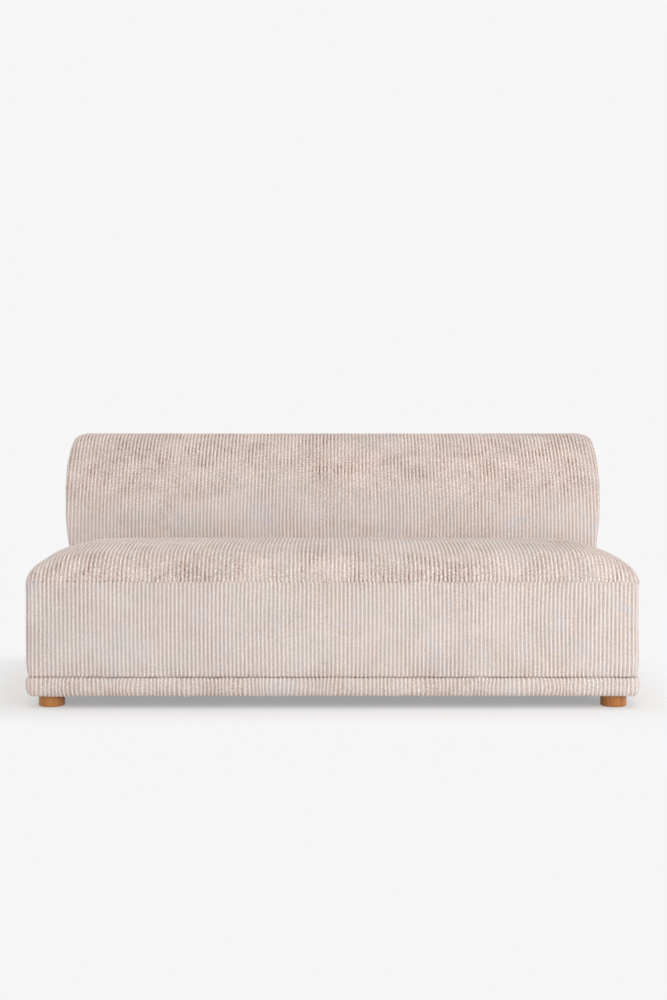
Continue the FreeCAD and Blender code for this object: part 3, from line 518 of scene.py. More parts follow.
def steel(name):
    material, shader = new_material(name)
    make = Nodes(material)
    scratches = make.noise(make.place(scale=(60.0, 900.0, 900.0)), 1.0, 3.0, 0.6)
    stain = make.noise(make.place(), 40.0, 3.0, 0.6)
    stained = make.range(stain, 0.4, 0.75, 0.0, 0.6)
    tone = make.mix(stained, srgb(176, 177, 178), srgb(128, 124, 118))
    set_values(shader, {"Metallic": 1.0})
    rough = make.range(scratches, 0.3, 0.7, 0.3, 0.5)
    wire(make, shader, tone, rough, make.bump(scratches, 0.2, 0.0002))
    return material


def woven(name, light, dark, threads):
    """A plain woven cloth or felted board with this many threads to the metre."""
    material, shader = new_material(name)
    make = Nodes(material)
    spun = make.noise(make.place(scale=(threads, threads * 0.3, threads)), 1.0, 2.0, 0.6)
    crossed = make.noise(make.place(scale=(threads * 0.3, threads, threads)), 1.0, 2.0, 0.6)
    fuzz = make.noise(make.place(), 30.0, 3.0, 0.6)
    weave = make.math("ADD", make.times(spun, 0.5), make.times(crossed, 0.5))
    tone = make.mix(make.range(weave, 0.38, 0.62), dark, light)
    tone = make.mix(make.range(fuzz, 0.4, 0.8, 0.0, 0.35), tone, dark)
    set_values(shader, {"Sheen Weight": 0.15})
    rough = make.range(weave, 0.3, 0.7, 0.85, 0.97)
    wire(make, shader, tone, rough, make.bump(weave, 0.5, 0.0006))
    return material


cloth = corduroy("corduroy")
foot_wood = beech("foot_beech")
frame_wood = plain_wood("frame_pine", srgb(222, 192, 148), srgb(196, 158, 108))
block_wood = plain_wood("block_plywood", srgb(214, 182, 138), srgb(180, 140, 96),
                        scale=(18.0, 18.0, 240.0))
board = plain_wood("rear_hardboard", srgb(128, 92, 62), srgb(104, 72, 48),
                   scale=(90.0, 90.0, 90.0))
bright_steel = steel("zinc_steel")
spring_steel = steel("spring_steel")
felt = woven("glide_felt", srgb(120, 112, 104), srgb(78, 72, 66), 700.0)
insulator = woven("insulator_felt", srgb(168, 160, 150), srgb(112, 106, 98), 420.0)
lining = woven("dust_lining", srgb(72, 70, 69), srgb(42, 41, 40), 900.0)
elastic = woven("elastic_webbing", srgb(188, 178, 160), srgb(120, 98, 74), 650.0)


# Ribs laid over surfaces

def rib_shape(phase):
    """A rib's height from 0 in the valley to 1 on the crest, for a phase in ribs."""
    from_crest = np.abs(2 * (phase - np.floor(phase)) - 1)
    return 1 - from_crest ** RIB_ROUNDNESS


def rib_phases(first, last):
    """Phases for a whole number of ribs, with more points near the valleys."""
    steps = [rib + step for rib in range(first, last) for step in RIB_STEPS]
    return np.array(steps + [float(last)])


def seam_spacing(length, regular, close=SEAM_STEPS):
    """Distances along a rib, close together near the seams at both ends."""
    close = np.array(close)
    count = max(2, int(round((length - 2 * close[-1]) / regular)))
    middle = np.linspace(close[-1], length - close[-1], count + 1)
    return np.concatenate([close[:-1], middle, length - close[:-1][::-1]])


def lay_ribs(rows, straight, samples, sway):
    """Ribs of even pitch over dense rows, and the phase of each of their points.

    rows holds one dense line across the piece for each place along the ribs, counted from its
    middle. Up to the phase straight on each side the columns follow the ribs, and beyond it they
    share what is left of the line.
    """
    inner = rib_phases(-straight, straight)
    points, phases = [], []
    for number, row in enumerate(rows):
        run = run_along(row)
        run -= run[len(row) // 2]
        left, right = run[0] / RIB_PITCH, run[-1] / RIB_PITCH
        phase = np.concatenate([
            np.linspace(left, -straight, samples, endpoint=False),
            inner,
            np.linspace(right, straight, samples, endpoint=False)[::-1],
        ])
        inside = smooth(0, 3, np.minimum(phase - left, right - phase))
        places = np.clip((phase + sway(phase, number) * inside) * RIB_PITCH, run[0], run[-1])
        points.append(points_at(row, run, places))
        phases.append(phase)
    return np.array(points), np.array(phases)


def place_in_row(phase):
    """Each point's share of the way across its row, and its distance from the row's nearer end."""
    first, last = phase.min(axis=1)[:, None], phase.max(axis=1)[:, None]
    return (phase - first) / (last - first), np.minimum(phase - first, last - phase) * RIB_PITCH


def rib_sway(phase, along, seed, amount):
    """How far the ribs wander sideways, in ribs: together, and each a little by itself."""
    together = noise(phase / 14.0, along / 0.16, seed)
    alone = noise(np.floor(phase) * 3.7 + 0.5, along / 0.045, seed + 1)
    return amount * (1.6 * together + 0.45 * alone)


def rib_relief(phase, along, seed, strength=1.0):
    """The ribs' height over a surface, uneven as the pile is pressed here and there."""
    pressed = 1 + 0.16 * noise(np.floor(phase) * 5.3, along / 0.028, seed + 2)
    pressed = pressed + 0.34 * noise(phase / 8.0, along / 0.10, seed + 3)
    tufts = noise(phase * 3.1, along / 0.0042, seed + 4)
    fibres = noise(phase * 7.9, along / 0.0021, seed + 5)
    nap = NAP * (tufts + 0.6 * fibres)
    return RIB_HEIGHT * strength * rib_shape(phase) * pressed + nap * rib_shape(phase)


def seam_relief(phase, along, distance, seed, seam):
    """The cover turned in at a seam, most between the ribs, with a rise where the ribs bunch."""
    on_ribs, between_ribs = seam
    uneven = 0.55 + 0.45 * noise(np.floor(phase + 0.5) * 4.7, along / 0.03, seed + 12)
    between = 1 - rib_shape(phase)
    turned_in = on_ribs + between_ribs * between * uneven
    bunched = BUNCH_HEIGHT * np.exp(-((distance - BUNCH_PLACE) / BUNCH_WIDTH) ** 2)
    return bunched - turned_in * np.exp(-(distance / SEAM_REACH) ** 1.6)


def soft_swell(phase, along, seed, height, cell):
    """The filling's own unevenness, in cells of this many ribs and as many centimetres."""
    return height * noise(phase / cell, along / (cell / 100), seed + 8)


def seam_pull(phase, along, near, seed, height, reach, cell):
    """Small hollows that a seam pulls in the filling beside it, in cells of this many ribs."""
    return height * (np.exp(-near / reach) * noise(phase / cell, along / 0.05, seed + 9))


def lay_relief(surface, relief, facing=1.0):
    """The surface lowered by a rib's height, with the relief on it, and the surface's normals."""
    normals = facing * grid_normals(surface)
    return surface + normals * (relief - RIB_HEIGHT)[..., None], normals


def cover_piece(name, surface, relief, depth, phase, along, spread, facing=1.0):
    """A cover with its relief as one closed piece, with a back at this depth under its face."""
    face, normals = lay_relief(surface, relief, facing)
    under = face - normals * depth
    keep = np.linspace(len(face) - 1, 0, max(4, len(face) // 6)).astype(int)
    points = np.concatenate([face, under[keep]])
    phase, along, spread = repeat_rows(keep, phase, along, spread)
    return shell(name, points, phase, along, spread, cloth)


# Covers simulated as cloth over their filling

def hold_as_cloth(cover, edges):
    """Cloth under even pressure and without weight, held at its edges and cut a little large."""
    held = cover.vertex_groups.new(name="held")
    held.add(edges.tolist(), 1.0, "REPLACE")
    simulated = cover.modifiers.new("cloth", "CLOTH")
    simulated.point_cache.frame_end = CLOTH_FRAMES
    settings = simulated.settings
    settings.quality = 5
    settings.tension_stiffness = 15.0
    settings.compression_stiffness = 15.0
    settings.bending_stiffness = 0.5
    settings.vertex_group_mass = "held"
    settings.use_pressure = True
    settings.uniform_pressure_force = CLOTH_PRESSURE
    settings.shrink_min = -CLOTH_EASE
    settings.effector_weights.gravity = 0.0


def stuffed(surface, cap):
    """How far each point of a cover moves from its surface as its filling presses on it.

    The cover is simulated as cloth held at its seams. It is cut a little larger than the surface,
    so it ripples beside them. The filling stops it softly at the cap, and the shape starts that
    much smaller.
    """
    rows, columns = surface.shape[:2]
    index, quads = grid_faces(rows, columns)
    mesh = new_mesh("stuffed", surface, quads.tolist())
    cover = add_object("stuffed", mesh)
    edges = np.unique(np.concatenate([index[0], index[-1], index[:, 0], index[:, -1]]))
    hold_as_cloth(cover, edges)
    for frame_number in range(1, CLOTH_FRAMES + 1):
        bpy.context.scene.frame_set(frame_number)
    finished = cover.evaluated_get(bpy.context.evaluated_depsgraph_get()).data
    moved = np.empty(rows * columns * 3)
    finished.vertices.foreach_get("co", moved)
    bpy.data.objects.remove(cover)
    bpy.data.meshes.remove(mesh)
    bpy.context.scene.frame_set(1)
    swell = ((moved.reshape(surface.shape) - surface) * grid_normals(surface)).sum(axis=-1)
    return cap * (np.tanh(swell / (CLOTH_REACH * cap)) - 1)


# Base: an upright ribbed panel on each side, drawn in a little at the bottom, over a padded band

SIDES = {
    # name: turn about the origin in quarter turns, half length along the side, distance to its face
    "front": (0, HALF_WIDTH, -FRONT),
    "right": (1, -FRONT, HALF_WIDTH),
    "rear": (2, HALF_WIDTH, REAR),
    "left": (3, REAR, HALF_WIDTH),
}


def side_line(half, place):
    """A point and its outward direction on one side of the rounded outline, which faces -Y here.

    place runs along the outline from the middle of one corner to the middle of the next, 0 at the
    side's middle, and the point is counted from the side's face.
    """
    straight = half - CORNER_RADIUS
    beyond = np.maximum(np.abs(place) - straight, 0) / CORNER_RADIUS
    sign = np.sign(place)
    x = np.where(beyond > 0, sign * (straight + CORNER_RADIUS * np.sin(beyond)), place)
    y = CORNER_RADIUS * (1 - np.cos(beyond))
    return x, y, sign * np.sin(beyond), -np.cos(beyond)


def side_surface(name, more_ribs, levels, insets, sway):
    """Rows of points up one side of the base, and the ribs' phase at each point.

    levels and insets give the side's outline from below to above.
    """
    turn, half, face = SIDES[name]
    length = 2 * (half - CORNER_RADIUS) + CORNER_RADIUS * math.pi / 2
    count = int(round(length / RIB_PITCH / 2)) * 2 + 1 + more_ribs
    phase = np.repeat(rib_phases(0, count)[None, :], len(levels), axis=0)
    inside = smooth(0, 3, np.minimum(phase, count - phase))
    place = ((phase + sway(phase) * inside) / count - 0.5) * length
    x, y, out_x, out_y = side_line(half, place)
    # at a rounded corner the cover can't be drawn in by more than the corner's radius
    inset = full_width(insets, phase)
    at_corner = np.abs(place) > half - CORNER_RADIUS
    inset = np.where(at_corner, np.minimum(inset, CORNER_RADIUS - LEAST_CORNER), inset)
    x = x - inset * out_x
    y = y - face - inset * out_y
    for _ in range(turn):
        x, y = -y, x
    return np.stack([x, y, full_width(levels, phase)], axis=-1), phase


def base_panel(name, seed):
    up = seam_spacing(PANEL_HEIGHT, 0.0085)
    rows_to_seam = len(up)
    levels = BAND_TOP + up
    insets = DRAW_IN * (1 - np.clip(up / DRAW_IN_HEIGHT, 0, 1)) ** 2
    up = np.append(up, up[-1] + LEDGE_RUN)
    levels = np.append(levels, SEAM + LEDGE_RISE)
    insets = np.append(insets, LEDGE_INSETS)
    surface, phase = side_surface(name, 0, levels, insets,
                                  lambda ribs: rib_sway(ribs, up[:, None], seed, 0.10))
    along = full_width(up, phase)
    to_band = up[:, None]
    to_seam = np.abs(SEAM - levels)[:, None]
    to_seam[rows_to_seam:] = 0.0
    near = np.minimum(to_seam, to_band)
    relief = rib_relief(phase, along, seed)
    relief = relief + seam_relief(phase, along, to_seam, seed, SEAT_SEAM)
    relief = relief + seam_relief(phase, along, to_band, seed + 1, BAND_SEAM)
    coarse = even_grid(surface[:rows_to_seam, ::len(RIB_STEPS)], 18, 120)
    across, _ = place_in_row(phase)
    relief = relief + spread_over(stuffed(coarse, PANEL_CAP), along / PANEL_HEIGHT, across)
    relief = relief + soft_swell(phase, along, seed, 0.0016, 19.0) * smooth(0, 0.02, near)
    relief = relief + seam_pull(phase, along, near, seed, 0.0008, 0.016, 2.3)
    spread = 0.16 + 0.25 * np.exp(-near / 0.02)
    spread = spread + 0.10 * noise(phase / 22.0, along / 0.20, seed + 14)
    piece = cover_piece(f"base_{name}_cushioning", surface, relief, PAD_DEPTH, phase, along, spread)
    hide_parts(f"base_cover_{name}", f"base_pad_{name}")


def band_outline():
    """The band's levels and insets, from its tuck under the frame to its seam behind the panel."""
    low = BAND_BOTTOM + BAND_LOWER_ROUND
    high = BAND_TOP - BAND_UPPER_ROUND
    outline = [(BAND_BOTTOM + BAND_TUCK_RISE, BAND_TUCK)]
    for angle in np.linspace(0, 90, 9):
        turned = math.radians(angle)
        outline.append((low - BAND_LOWER_ROUND * math.cos(turned),
                        BAND_LOWER_WIDTH * (1 - math.sin(turned)) - BAND_SWELL))
    for share in (0.25, 0.5, 0.75):
        outline.append((low + share * (high - low), -BAND_SWELL))
    for angle in (0, 25, 45, 60, 72, 81, 86, 90):
        turned = math.radians(angle)
        outline.append((high + BAND_UPPER_ROUND * math.sin(turned),
                        (BAND_UPPER_WIDTH + BAND_SWELL) * (1 - math.cos(turned)) - BAND_SWELL))
    outline.append((BAND_TOP + BAND_TOP_RISE, BAND_TOP_INSET))
    return np.array(outline)


def band_panel(name, seed):
    outline = band_outline()
    levels, insets = outline[:, 0], outline[:, 1]
    run = run_along(outline)

    def sway(ribs):
        slant = noise(ribs / 5.0, levels[:, None] / 0.06, seed + 6)
        return rib_sway(ribs, levels[:, None], seed, 0.16) + 0.5 * slant

    surface, phase = side_surface(name, 2, levels, insets, sway)
    along = full_width(run, phase)
    to_seam = np.abs(run[-2] - run)[:, None]
    relief = rib_relief(phase, along, seed, 0.8)
    relief = relief + seam_relief(phase, along, to_seam, seed, GATHERED_SEAM)
    # gathered a little: short slanting puckers that fade downwards
    slant = phase / 2.6 + (BAND_TOP - levels)[:, None] / 0.022
    pucker = noise(slant, phase / 11.0, seed + 7) * np.exp(-to_seam / 0.03)
    relief = relief + 0.0012 * pucker + 0.0008 * noise(phase / 8.0, along / 0.05, seed + 8)
    spread = 0.35 + 0.25 * noise(phase / 12.0, along / 0.1, seed + 14)
    piece = cover_piece(f"band_{name}_roll", surface, relief, BAND_DEPTH, phase, along, spread)
    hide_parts(f"band_cover_{name}", f"band_roll_{name}")


for number, side_name in enumerate(SIDES):
    base_panel(side_name, 100 + 20 * number)
    band_panel(side_name, 300 + 20 * number)


# Seat: a crowned cushion with a rolled front and sides that fall to the seam

def seat_rise(back):
    """The crowned height over the seam at a distance back from the front edge, in the middle."""
    roll = np.sqrt(np.maximum(ROLL_RADIUS ** 2 - (ROLL_RADIUS - back) ** 2, 0))
    top_rise = CROWN_RISE - ROLL_HEIGHT
    top_radius = ((CROWN_SETBACK - ROLL_DEPTH) ** 2 + top_rise ** 2) / (2 * top_rise)
    top = CROWN_RISE - (back - CROWN_SETBACK) ** 2 / (2 * top_radius)
    rear_radius = (BACK_FRONT - FRONT - CROWN_SETBACK) ** 2 / (2 * REAR_FALL)
    rear = CROWN_RISE - (back - CROWN_SETBACK) ** 2 / (2 * rear_radius)
    return np.where(back < ROLL_DEPTH, roll, np.where(back < CROWN_SETBACK, top, rear))


def seat_side(x):
    """The share of the crowned height that is left at this distance from the middle."""
    share = np.clip((HALF_WIDTH - np.abs(x)) / SIDE_ROLL_DEPTH, 0, 1)
    return (1 - (1 - share) ** SIDE_BULGE) ** (1 / SIDE_SHARPNESS)


def seat_rows():
    """Dense lines across the seat from its front seam to the back, and their run along a rib."""
    near = np.array(ROLL_STEPS)
    first_angle = near[-1] / ROLL_RADIUS
    last_angle = math.acos((ROLL_RADIUS - ROLL_DEPTH) / ROLL_RADIUS)
    angles = first_angle + (last_angle - first_angle) * np.linspace(0, 1, 16)[1:]
    roll_run = np.concatenate([near, ROLL_RADIUS * angles])
    roll_back = ROLL_RADIUS * (1 - np.cos(roll_run / ROLL_RADIUS))
    rest = np.linspace(ROLL_DEPTH, SEAT_REAR - FRONT, 62)[1:]
    back = np.concatenate([roll_back, rest])
    run = np.concatenate([roll_run, roll_run[-1] + (rest - ROLL_DEPTH)])

    right = HALF_WIDTH - np.linspace(0, 1, 70) ** 2.6 * SIDE_ROLL_DEPTH
    middle = np.linspace(-right[-1], right[-1], 40)[1:-1]
    x = np.concatenate([-right, middle, right[::-1]])
    x = np.insert(x, len(x) // 2, 0.0)
    beyond = np.clip(np.abs(x) - (HALF_WIDTH - CORNER_RADIUS), 0, CORNER_RADIUS)
    start = FRONT + CORNER_RADIUS - np.sqrt(CORNER_RADIUS ** 2 - beyond ** 2)

    rows = np.zeros((len(back), len(x), 3))
    rows[..., 0] = x
    rows[..., 1] = start + back[:, None] * (SEAT_REAR - start) / (SEAT_REAR - FRONT)
    rows[..., 2] = SEAM + seat_rise(back)[:, None] * seat_side(x)
    return rows, run


def seat_cushion(seed):
    rows, run = seat_rows()

    def sway(ribs, number):
        return rib_sway(ribs + SEAT_SHIFT, run[number], seed, 0.12) + SEAT_SHIFT

    surface, phase = lay_ribs(rows, 66, 96, sway)
    along = full_width(run, phase)
    across, to_side = place_in_row(phase)
    to_seam = np.minimum(along, to_side)
    relief = rib_relief(phase, along, seed)
    relief = relief + seam_relief(phase, along, to_seam, seed, SEAT_SEAM)
    simulated = stuffed(even_grid(rows, 42, 96), SEAT_CAP)
    relief = relief + spread_over(simulated, along / along.max(), across)
    relief = relief + soft_swell(phase, along, seed, 0.0030, 17.0) * smooth(0.02, 0.12, to_seam)
    relief = relief + seam_pull(phase, along, to_seam, seed, 0.0009, 0.018, 2.1)
    spread = 0.80 + 0.20 * noise(phase / 15.0, along / 0.12, seed + 14)
    spread = spread - 0.15 * smooth(0.09, 0.16, along)
    face, _ = lay_relief(surface, relief)

    # the rear face down to the back's foot, and the underside with rows behind, midway and in front
    keep = [-1, -1, len(face) // 2, 0]
    under = face[keep]
    under[..., 0] *= 0.992
    under[0, :, 1] = SEAT_REAR
    under[0, :, 2] = np.minimum(under[0, :, 2], SEAT_REAR_FOOT)
    under[1:, :, 2] = SEAT_UNDERSIDE
    under[3, :, 1] += 0.008
    points = np.concatenate([face, under])
    phase, along, spread = repeat_rows(keep, phase, along, spread)
    piece = shell("seat_cushion", points, phase, along, spread, cloth)
    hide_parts("seat_top_cover", "seat_fibre_wrap", "seat_foam", "insulator_pad", "edge_rolls")


seat_cushion(500)


# Back: upright below, leaning back above, with a rolled crest and soft corners

def arc(centre, radius, start, end, steps):
    angles = np.radians(np.linspace(start, end, steps))
    return [(centre[0] + radius * math.cos(a), centre[1] + radius * math.sin(a)) for a in angles]


def back_profile():
    """The back seen from its side, from the seat up its front, over the crest and down its rear."""
    straight_top = SEAM + BACK_STRAIGHT
    front_centre = (BACK_FRONT + BACK_FRONT_RADIUS, straight_top)
    drop = CREST - CREST_FRONT_RADIUS - straight_top
    shift = math.sqrt((BACK_FRONT_RADIUS - CREST_FRONT_RADIUS) ** 2 - drop ** 2)
    crest_centre = (front_centre[0] - shift, CREST - CREST_FRONT_RADIUS)
    meet = math.degrees(math.atan2(drop, shift))
    rear_centre = (REAR - CREST_REAR_RADIUS, CREST - CREST_REAR_RADIUS)
    path = [(BACK_FRONT, BACK_FOOT), (BACK_FRONT, straight_top)]
    path += arc(front_centre, BACK_FRONT_RADIUS, 180, 180 - meet, 60)[1:]
    path += arc(crest_centre, CREST_FRONT_RADIUS, 180 - meet, 90, 40)[1:]
    path += arc(rear_centre, CREST_REAR_RADIUS, 90, 0, 40)
    path += [(REAR, SEAM)]
    return np.array(path)


BACK_PATH = back_profile()
BACK_PLACES = run_along(BACK_PATH)
BACK_RUN = float(BACK_PLACES[-1])
TOP_SEAM_RUN = BACK_RUN - (CREST - CREST_REAR_RADIUS - SEAM) - CREST_REAR_RADIUS * math.pi / 2


def along_profile(places):
    """Points of the back's profile at these distances along it, and its outward directions."""
    step = 0.002
    ahead = points_at(BACK_PATH, BACK_PLACES, places + step)
    behind = points_at(BACK_PATH, BACK_PLACES, places - step)
    direction = unit(ahead - behind)
    outward = np.stack([-direction[:, 1], direction[:, 0]], axis=-1)
    return points_at(BACK_PATH, BACK_PLACES, places), outward


def back_half_width(level):
    return BACK_HALF - BACK_NARROWING * (level - BACK_WIDEST) ** 2


def back_edges(level):
    """How wide and how deep the rounding at the back's side edge is at this height."""
    high = smooth(CREST_EDGE_FOOT, CREST, level)
    return (BACK_EDGE + (CREST_EDGE_WIDTH - BACK_EDGE) * high,
            BACK_EDGE + (CREST_EDGE_DROP - BACK_EDGE) * high)


def back_rows(places):
    """Lines across the back at these distances along its profile, each turned in at its ends."""
    turn = np.radians(np.linspace(0, 90, 26))
    rows = []
    for (y, z), (out_y, out_z) in zip(*along_profile(places)):
        wide, deep = back_edges(z)
        edge_x = back_half_width(z) - wide + wide * np.sin(turn)
        edge_in = deep * (1 - np.cos(turn))
        half_x = np.concatenate([[0.0], edge_x, [edge_x[-1] - 0.0015]])
        half_in = np.concatenate([[0.0], edge_in, [edge_in[-1] + 0.004]])
        x = np.concatenate([-half_x[::-1], half_x[1:]])
        inward = np.concatenate([half_in[::-1], half_in[1:]])
        rows.append(np.stack([x, y - inward * out_y, z - inward * out_z], axis=-1))
    return rows


def back_cover(name, start, end, regular, seed, nodes):
    length = end - start
    run = seam_spacing(length, regular)
    places = start + run
    rows = back_rows(places)

    def sway(ribs, number):
        return rib_sway(ribs, places[number], seed, 0.12) + BACK_SHIFT

    surface, phase = lay_ribs(rows, 69, 64, sway)
    along = full_width(run, phase)
    across, to_side = place_in_row(phase)
    to_seam = np.minimum(np.minimum(along, length - along), to_side)
    relief = rib_relief(phase, along, seed)
    relief = relief + seam_relief(phase, along, to_seam, seed, BACK_SEAM)
    simulated = stuffed(even_grid(rows, 34, 96), BACK_CAP)
    relief = relief + spread_over(simulated, along / length, across)
    relief = relief + soft_swell(phase, along, seed, 0.0026, 16.0) * smooth(0.02, 0.10, to_seam)
    relief = relief + seam_pull(phase, along, to_seam, seed, 0.0009, 0.018, 2.1)
    spread = 0.22 + 0.70 * smooth(0.50, 0.72, surface[..., 2])
    spread = spread + 0.22 * noise(phase / 16.0, along / 0.15, seed + 14)
    piece = cover_piece(name, surface, relief, PAD_DEPTH, phase, along, spread)
    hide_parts(*nodes)


back_cover("back_inside_cushion", 0.0, TOP_SEAM_RUN, 0.0085, 600,
           ("inside_back_cover", "back_fibre_wrap", "back_foam", "back_crest_foam"))
back_cover("back_outside_cushioning", TOP_SEAM_RUN, BACK_RUN, 0.0100, 640, ("outside_back_cover",))


def height_over(outline, y):
    """The outline's greatest height near this distance from the front."""
    near = outline[np.abs(outline[:, 0] - y) < 0.0022]
    return near[:, 1].max() if len(near) else CREST - 0.03


def back_side(name, sign, seed):
    """The boxing at one side of the back: a slightly swelled panel inside the back's outline."""
    outline, outward = along_profile(np.linspace(0, BACK_RUN, 1200))
    _, deep = back_edges(outline[:, 1])
    inner = outline - outward * (deep - 0.001)[:, None]
    front, rear = inner[0, 0], inner[-1, 0]
    count = int(round((rear - front) / RIB_PITCH))
    rib_row = rib_phases(0, count)
    y = front + 0.0002 + (rear - front - 0.0004) * rib_row / count
    over_seat = inner[inner[:, 1] > SEAM + 0.02]
    top = np.array([height_over(over_seat, place) for place in y])
    share = seam_spacing(1.0, 0.024, BOXING_STEPS)
    levels = BACK_FOOT + share[:, None] * (top - BACK_FOOT)
    across = np.clip((y - front) / (rear - front), 0, 1)
    bow = np.sin(math.pi * share)[:, None] ** 0.5
    pillow = BOXING_SWELL * np.sin(math.pi * across) ** 0.7 * bow
    x = sign * (back_half_width(levels) - BOXING_INSET + pillow)
    surface = np.stack([x, np.repeat(y[None, :], len(share), axis=0), levels], axis=-1)
    phase = np.repeat(rib_row[None, :], len(share), axis=0)
    along = levels - BACK_FOOT
    relief = rib_relief(phase, along, seed)
    spread = 0.4 + 0.2 * noise(phase / 12.0, along / 0.15, seed + 14)
    piece = cover_piece(name, surface, relief, BOXING_DEPTH, phase, along, spread, facing=sign)
    side = "left" if sign < 0 else "right"
    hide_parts(f"back_side_cover_{side}", f"back_side_foam_{side}")


back_side("back_side_left", -1, 700)
back_side("back_side_right", 1, 740)


# Underside: a thin lining stapled to the frame

def dust_lining():
    inset = 0.0235
    level = 0.0342
    x = np.linspace(-HALF_WIDTH + inset, HALF_WIDTH - inset, 121)
    y = np.linspace(FRONT + inset, REAR - inset, 65)
    sheet_x, sheet_y = np.meshgrid(x, y)
    from_edge = np.minimum(HALF_WIDTH - inset - np.abs(sheet_x), REAR - inset - np.abs(sheet_y))
    sag = 0.00042 * smooth(0.0, 0.08, from_edge)
    sag = sag * (1 + 0.5 * noise(sheet_x / 0.11, sheet_y / 0.09, 9))
    wrinkle = 0.00018 * noise(sheet_x / 0.05 + sheet_y / 0.03, sheet_y / 0.2, 12)
    wrinkle = wrinkle * smooth(0.0, 0.03, from_edge)
    points = np.stack([sheet_x, sheet_y, level - sag + wrinkle], axis=-1)
    # each face's points in the other order, so that it looks down
    _, quads = grid_faces(len(y), len(x))
    faces = quads[:, [0, 3, 2, 1]].tolist()
    piece = add_object("dust_lining", new_mesh("dust_lining", points, faces, lining))
    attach(piece, "root")
    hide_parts("dust_cover")


dust_lining()


# Finishes of the parts that are carried over

NODE_MATERIALS = (
    (("foot_glides",), felt),
    (("foot_boards", "corner_blocks"), block_wood),
    (("foot_",), foot_wood),
    (("back_rear_board",), board),
    (("back_webbing",), elastic),
    (("insulator_pad", "edge_rolls"), insulator),
    (("seat_springs", "spring_tie_wires"), spring_steel),
    (("spring_clips", "frame_screws", "back_bolts", "bolt_inserts", "tee_nuts", "hanger_bolts",
      "dust_cover_staples"), bright_steel),
    (("base_", "back_", "spring_rear_rail"), frame_wood),
)

for node_name, node_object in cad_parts.items():
    for beginnings, finish in NODE_MATERIALS:
        if node_name.startswith(beginnings):
            for material_slot in node_object.material_slots:
                material_slot.material = finish
            break


# Studio: a pale floor that runs into a pale room, with soft light mostly from the front and right

BACKDROP = srgb(246, 246, 246)
FLOOR = srgb(250, 250, 250)
FLOOR_REACH = 14.0
SHADOW_REACH = 0.30
SHADOW_LEFT_SHARE = 0.35
NEAR_GLOW = 0.36
WALL_STRENGTH = 0.63
CEILING_STRENGTH = 0.86
LIGHT_TARGET = (0.0, 0.0, 0.4)

CAMERA_PLACE = (0.0026, FRONT - 3.9, 0.6736)
CAMERA_TILT = 1.24


def seen_directly(make):
    """1 for what the camera sees, also in gloss or through glass, and 0 for light on its way."""
    path = make.node("ShaderNodeLightPath")
    seen = make.math("MAXIMUM", path.outputs["Is Camera Ray"], path.outputs["Is Glossy Ray"])
    return make.math("MAXIMUM", seen, path.outputs["Is Transmission Ray"])


def mix_shaders(make, share, first, second):
    both = make.node("ShaderNodeMixShader")
    make.fill(both.inputs[0], share)
    make.link(first, both.inputs[1])
    make.link(second, both.inputs[2])
    return both.outputs[0]


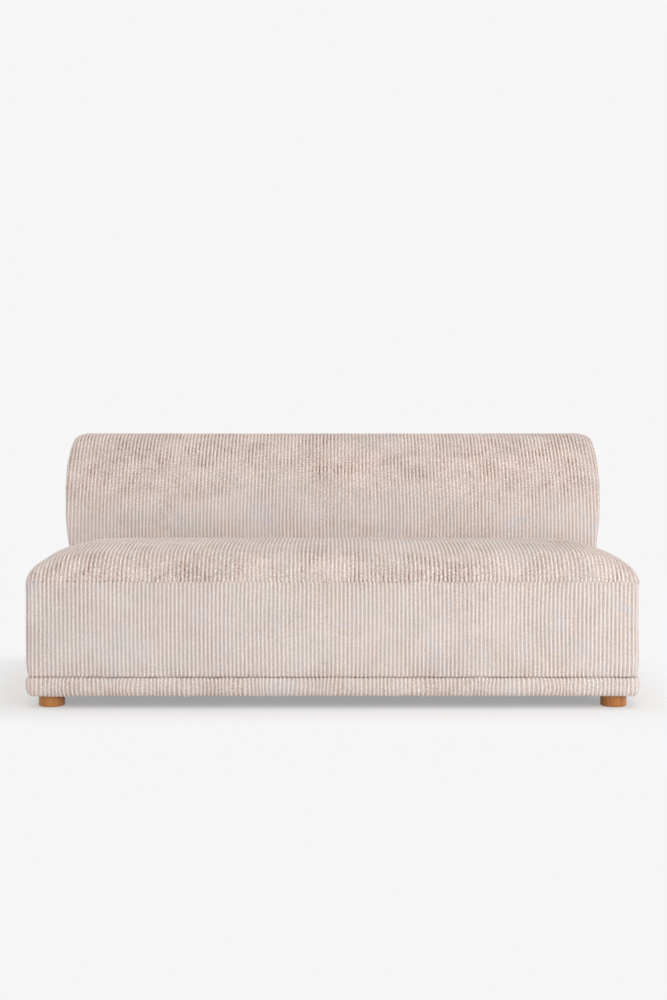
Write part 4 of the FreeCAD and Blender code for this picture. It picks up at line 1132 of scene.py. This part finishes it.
def studio_floor():
    material, shader = new_material("studio_floor")
    make = Nodes(material)
    set_values(shader, {"Base Color": (*FLOOR, 1.0), "Roughness": 0.9, "Specular IOR Level": 0.1})
    parts = make.node("ShaderNodeSeparateXYZ")
    make.link(make.node("ShaderNodeTexCoord").outputs["Object"], parts.inputs[0])
    across, deep = parts.outputs[0], make.math("ABSOLUTE", parts.outputs[1])

    def beyond(value, edge):
        return make.math("MAXIMUM", make.math("SUBTRACT", value, edge), 0.0)

    # near the sofa the floor shows its soft shadow, further out it runs into the backdrop
    past_right = beyond(across, HALF_WIDTH)
    past_left = beyond(make.times(across, -1.0), HALF_WIDTH)
    past_side = make.math("MULTIPLY_ADD", past_left, SHADOW_LEFT_SHARE, past_right)
    past_face = beyond(deep, REAR)
    squares = [make.math("POWER", distance, 2.0) for distance in (past_side, past_face)]
    reach = make.math("SQRT", make.math("ADD", *squares))
    share = make.range(reach, 0.0, SHADOW_REACH, NEAR_GLOW, 1.0)
    glow = make.node("ShaderNodeEmission")
    set_values(glow, {"Color": (*BACKDROP, 1.0)})
    share = make.times(share, seen_directly(make))
    surface = mix_shaders(make, share, shader.outputs[0], glow.outputs[0])
    make.link(surface, material.node_tree.nodes["output"].inputs["Surface"])

    corners = np.array([(-1, -1, 0), (1, -1, 0), (1, 1, 0), (-1, 1, 0)]) * FLOOR_REACH
    mesh = new_mesh("studio_floor", corners, [(0, 1, 2, 3)], material)
    floor = add_object("studio_floor", mesh)


def studio_world():
    """The room shows as the backdrop, and lights the sofa from its walls and more from above."""
    world = bpy.data.worlds.new("studio")
    bpy.context.scene.world = world
    world.use_nodes = True
    world.node_tree.nodes.clear()
    make = Nodes(world)
    output = make.node("ShaderNodeOutputWorld")
    shown = make.node("ShaderNodeBackground")
    set_values(shown, {"Color": (*BACKDROP, 1.0)})
    lights = make.node("ShaderNodeBackground")
    set_values(lights, {"Color": (1.0, 0.995, 0.99, 1.0)})
    parts = make.node("ShaderNodeSeparateXYZ")
    make.link(make.node("ShaderNodeTexCoord").outputs["Generated"], parts.inputs[0])
    strength = make.range(parts.outputs[2], 0.0, 1.0, WALL_STRENGTH, CEILING_STRENGTH, False)
    make.link(strength, lights.inputs["Strength"])
    mixed = mix_shaders(make, seen_directly(make), lights.outputs[0], shown.outputs[0])
    make.link(mixed, output.inputs["Surface"])


def area_light(name, place, width, height, power, colour):
    data = bpy.data.lights.new(name, "AREA")
    data.shape = "RECTANGLE"
    data.size = width
    data.size_y = height
    data.energy = power
    data.color = colour
    light = add_object(name, data)
    light.location = place
    aim = Vector(LIGHT_TARGET) - Vector(place)
    light.rotation_euler = aim.to_track_quat("-Z", "Y").to_euler()


studio_floor()
studio_world()
area_light("key", (4.2, -3.4, 1.7), width=1.4, height=1.4, power=80.0, colour=(1.0, 1.0, 1.0))
area_light("front", (-0.6, -5.0, 1.5), width=2.4, height=1.6, power=12.0, colour=(1.0, 0.98, 0.96))

camera_data = bpy.data.cameras.new("camera")
camera_data.lens = 50.0
camera_data.sensor_width = 36.0
camera = add_object("camera", camera_data)
camera.location = CAMERA_PLACE
camera.rotation_euler = (math.radians(90 - CAMERA_TILT), 0.0, 0.0)
bpy.context.scene.camera = camera
bpy.context.scene.view_settings.view_transform = "Standard"
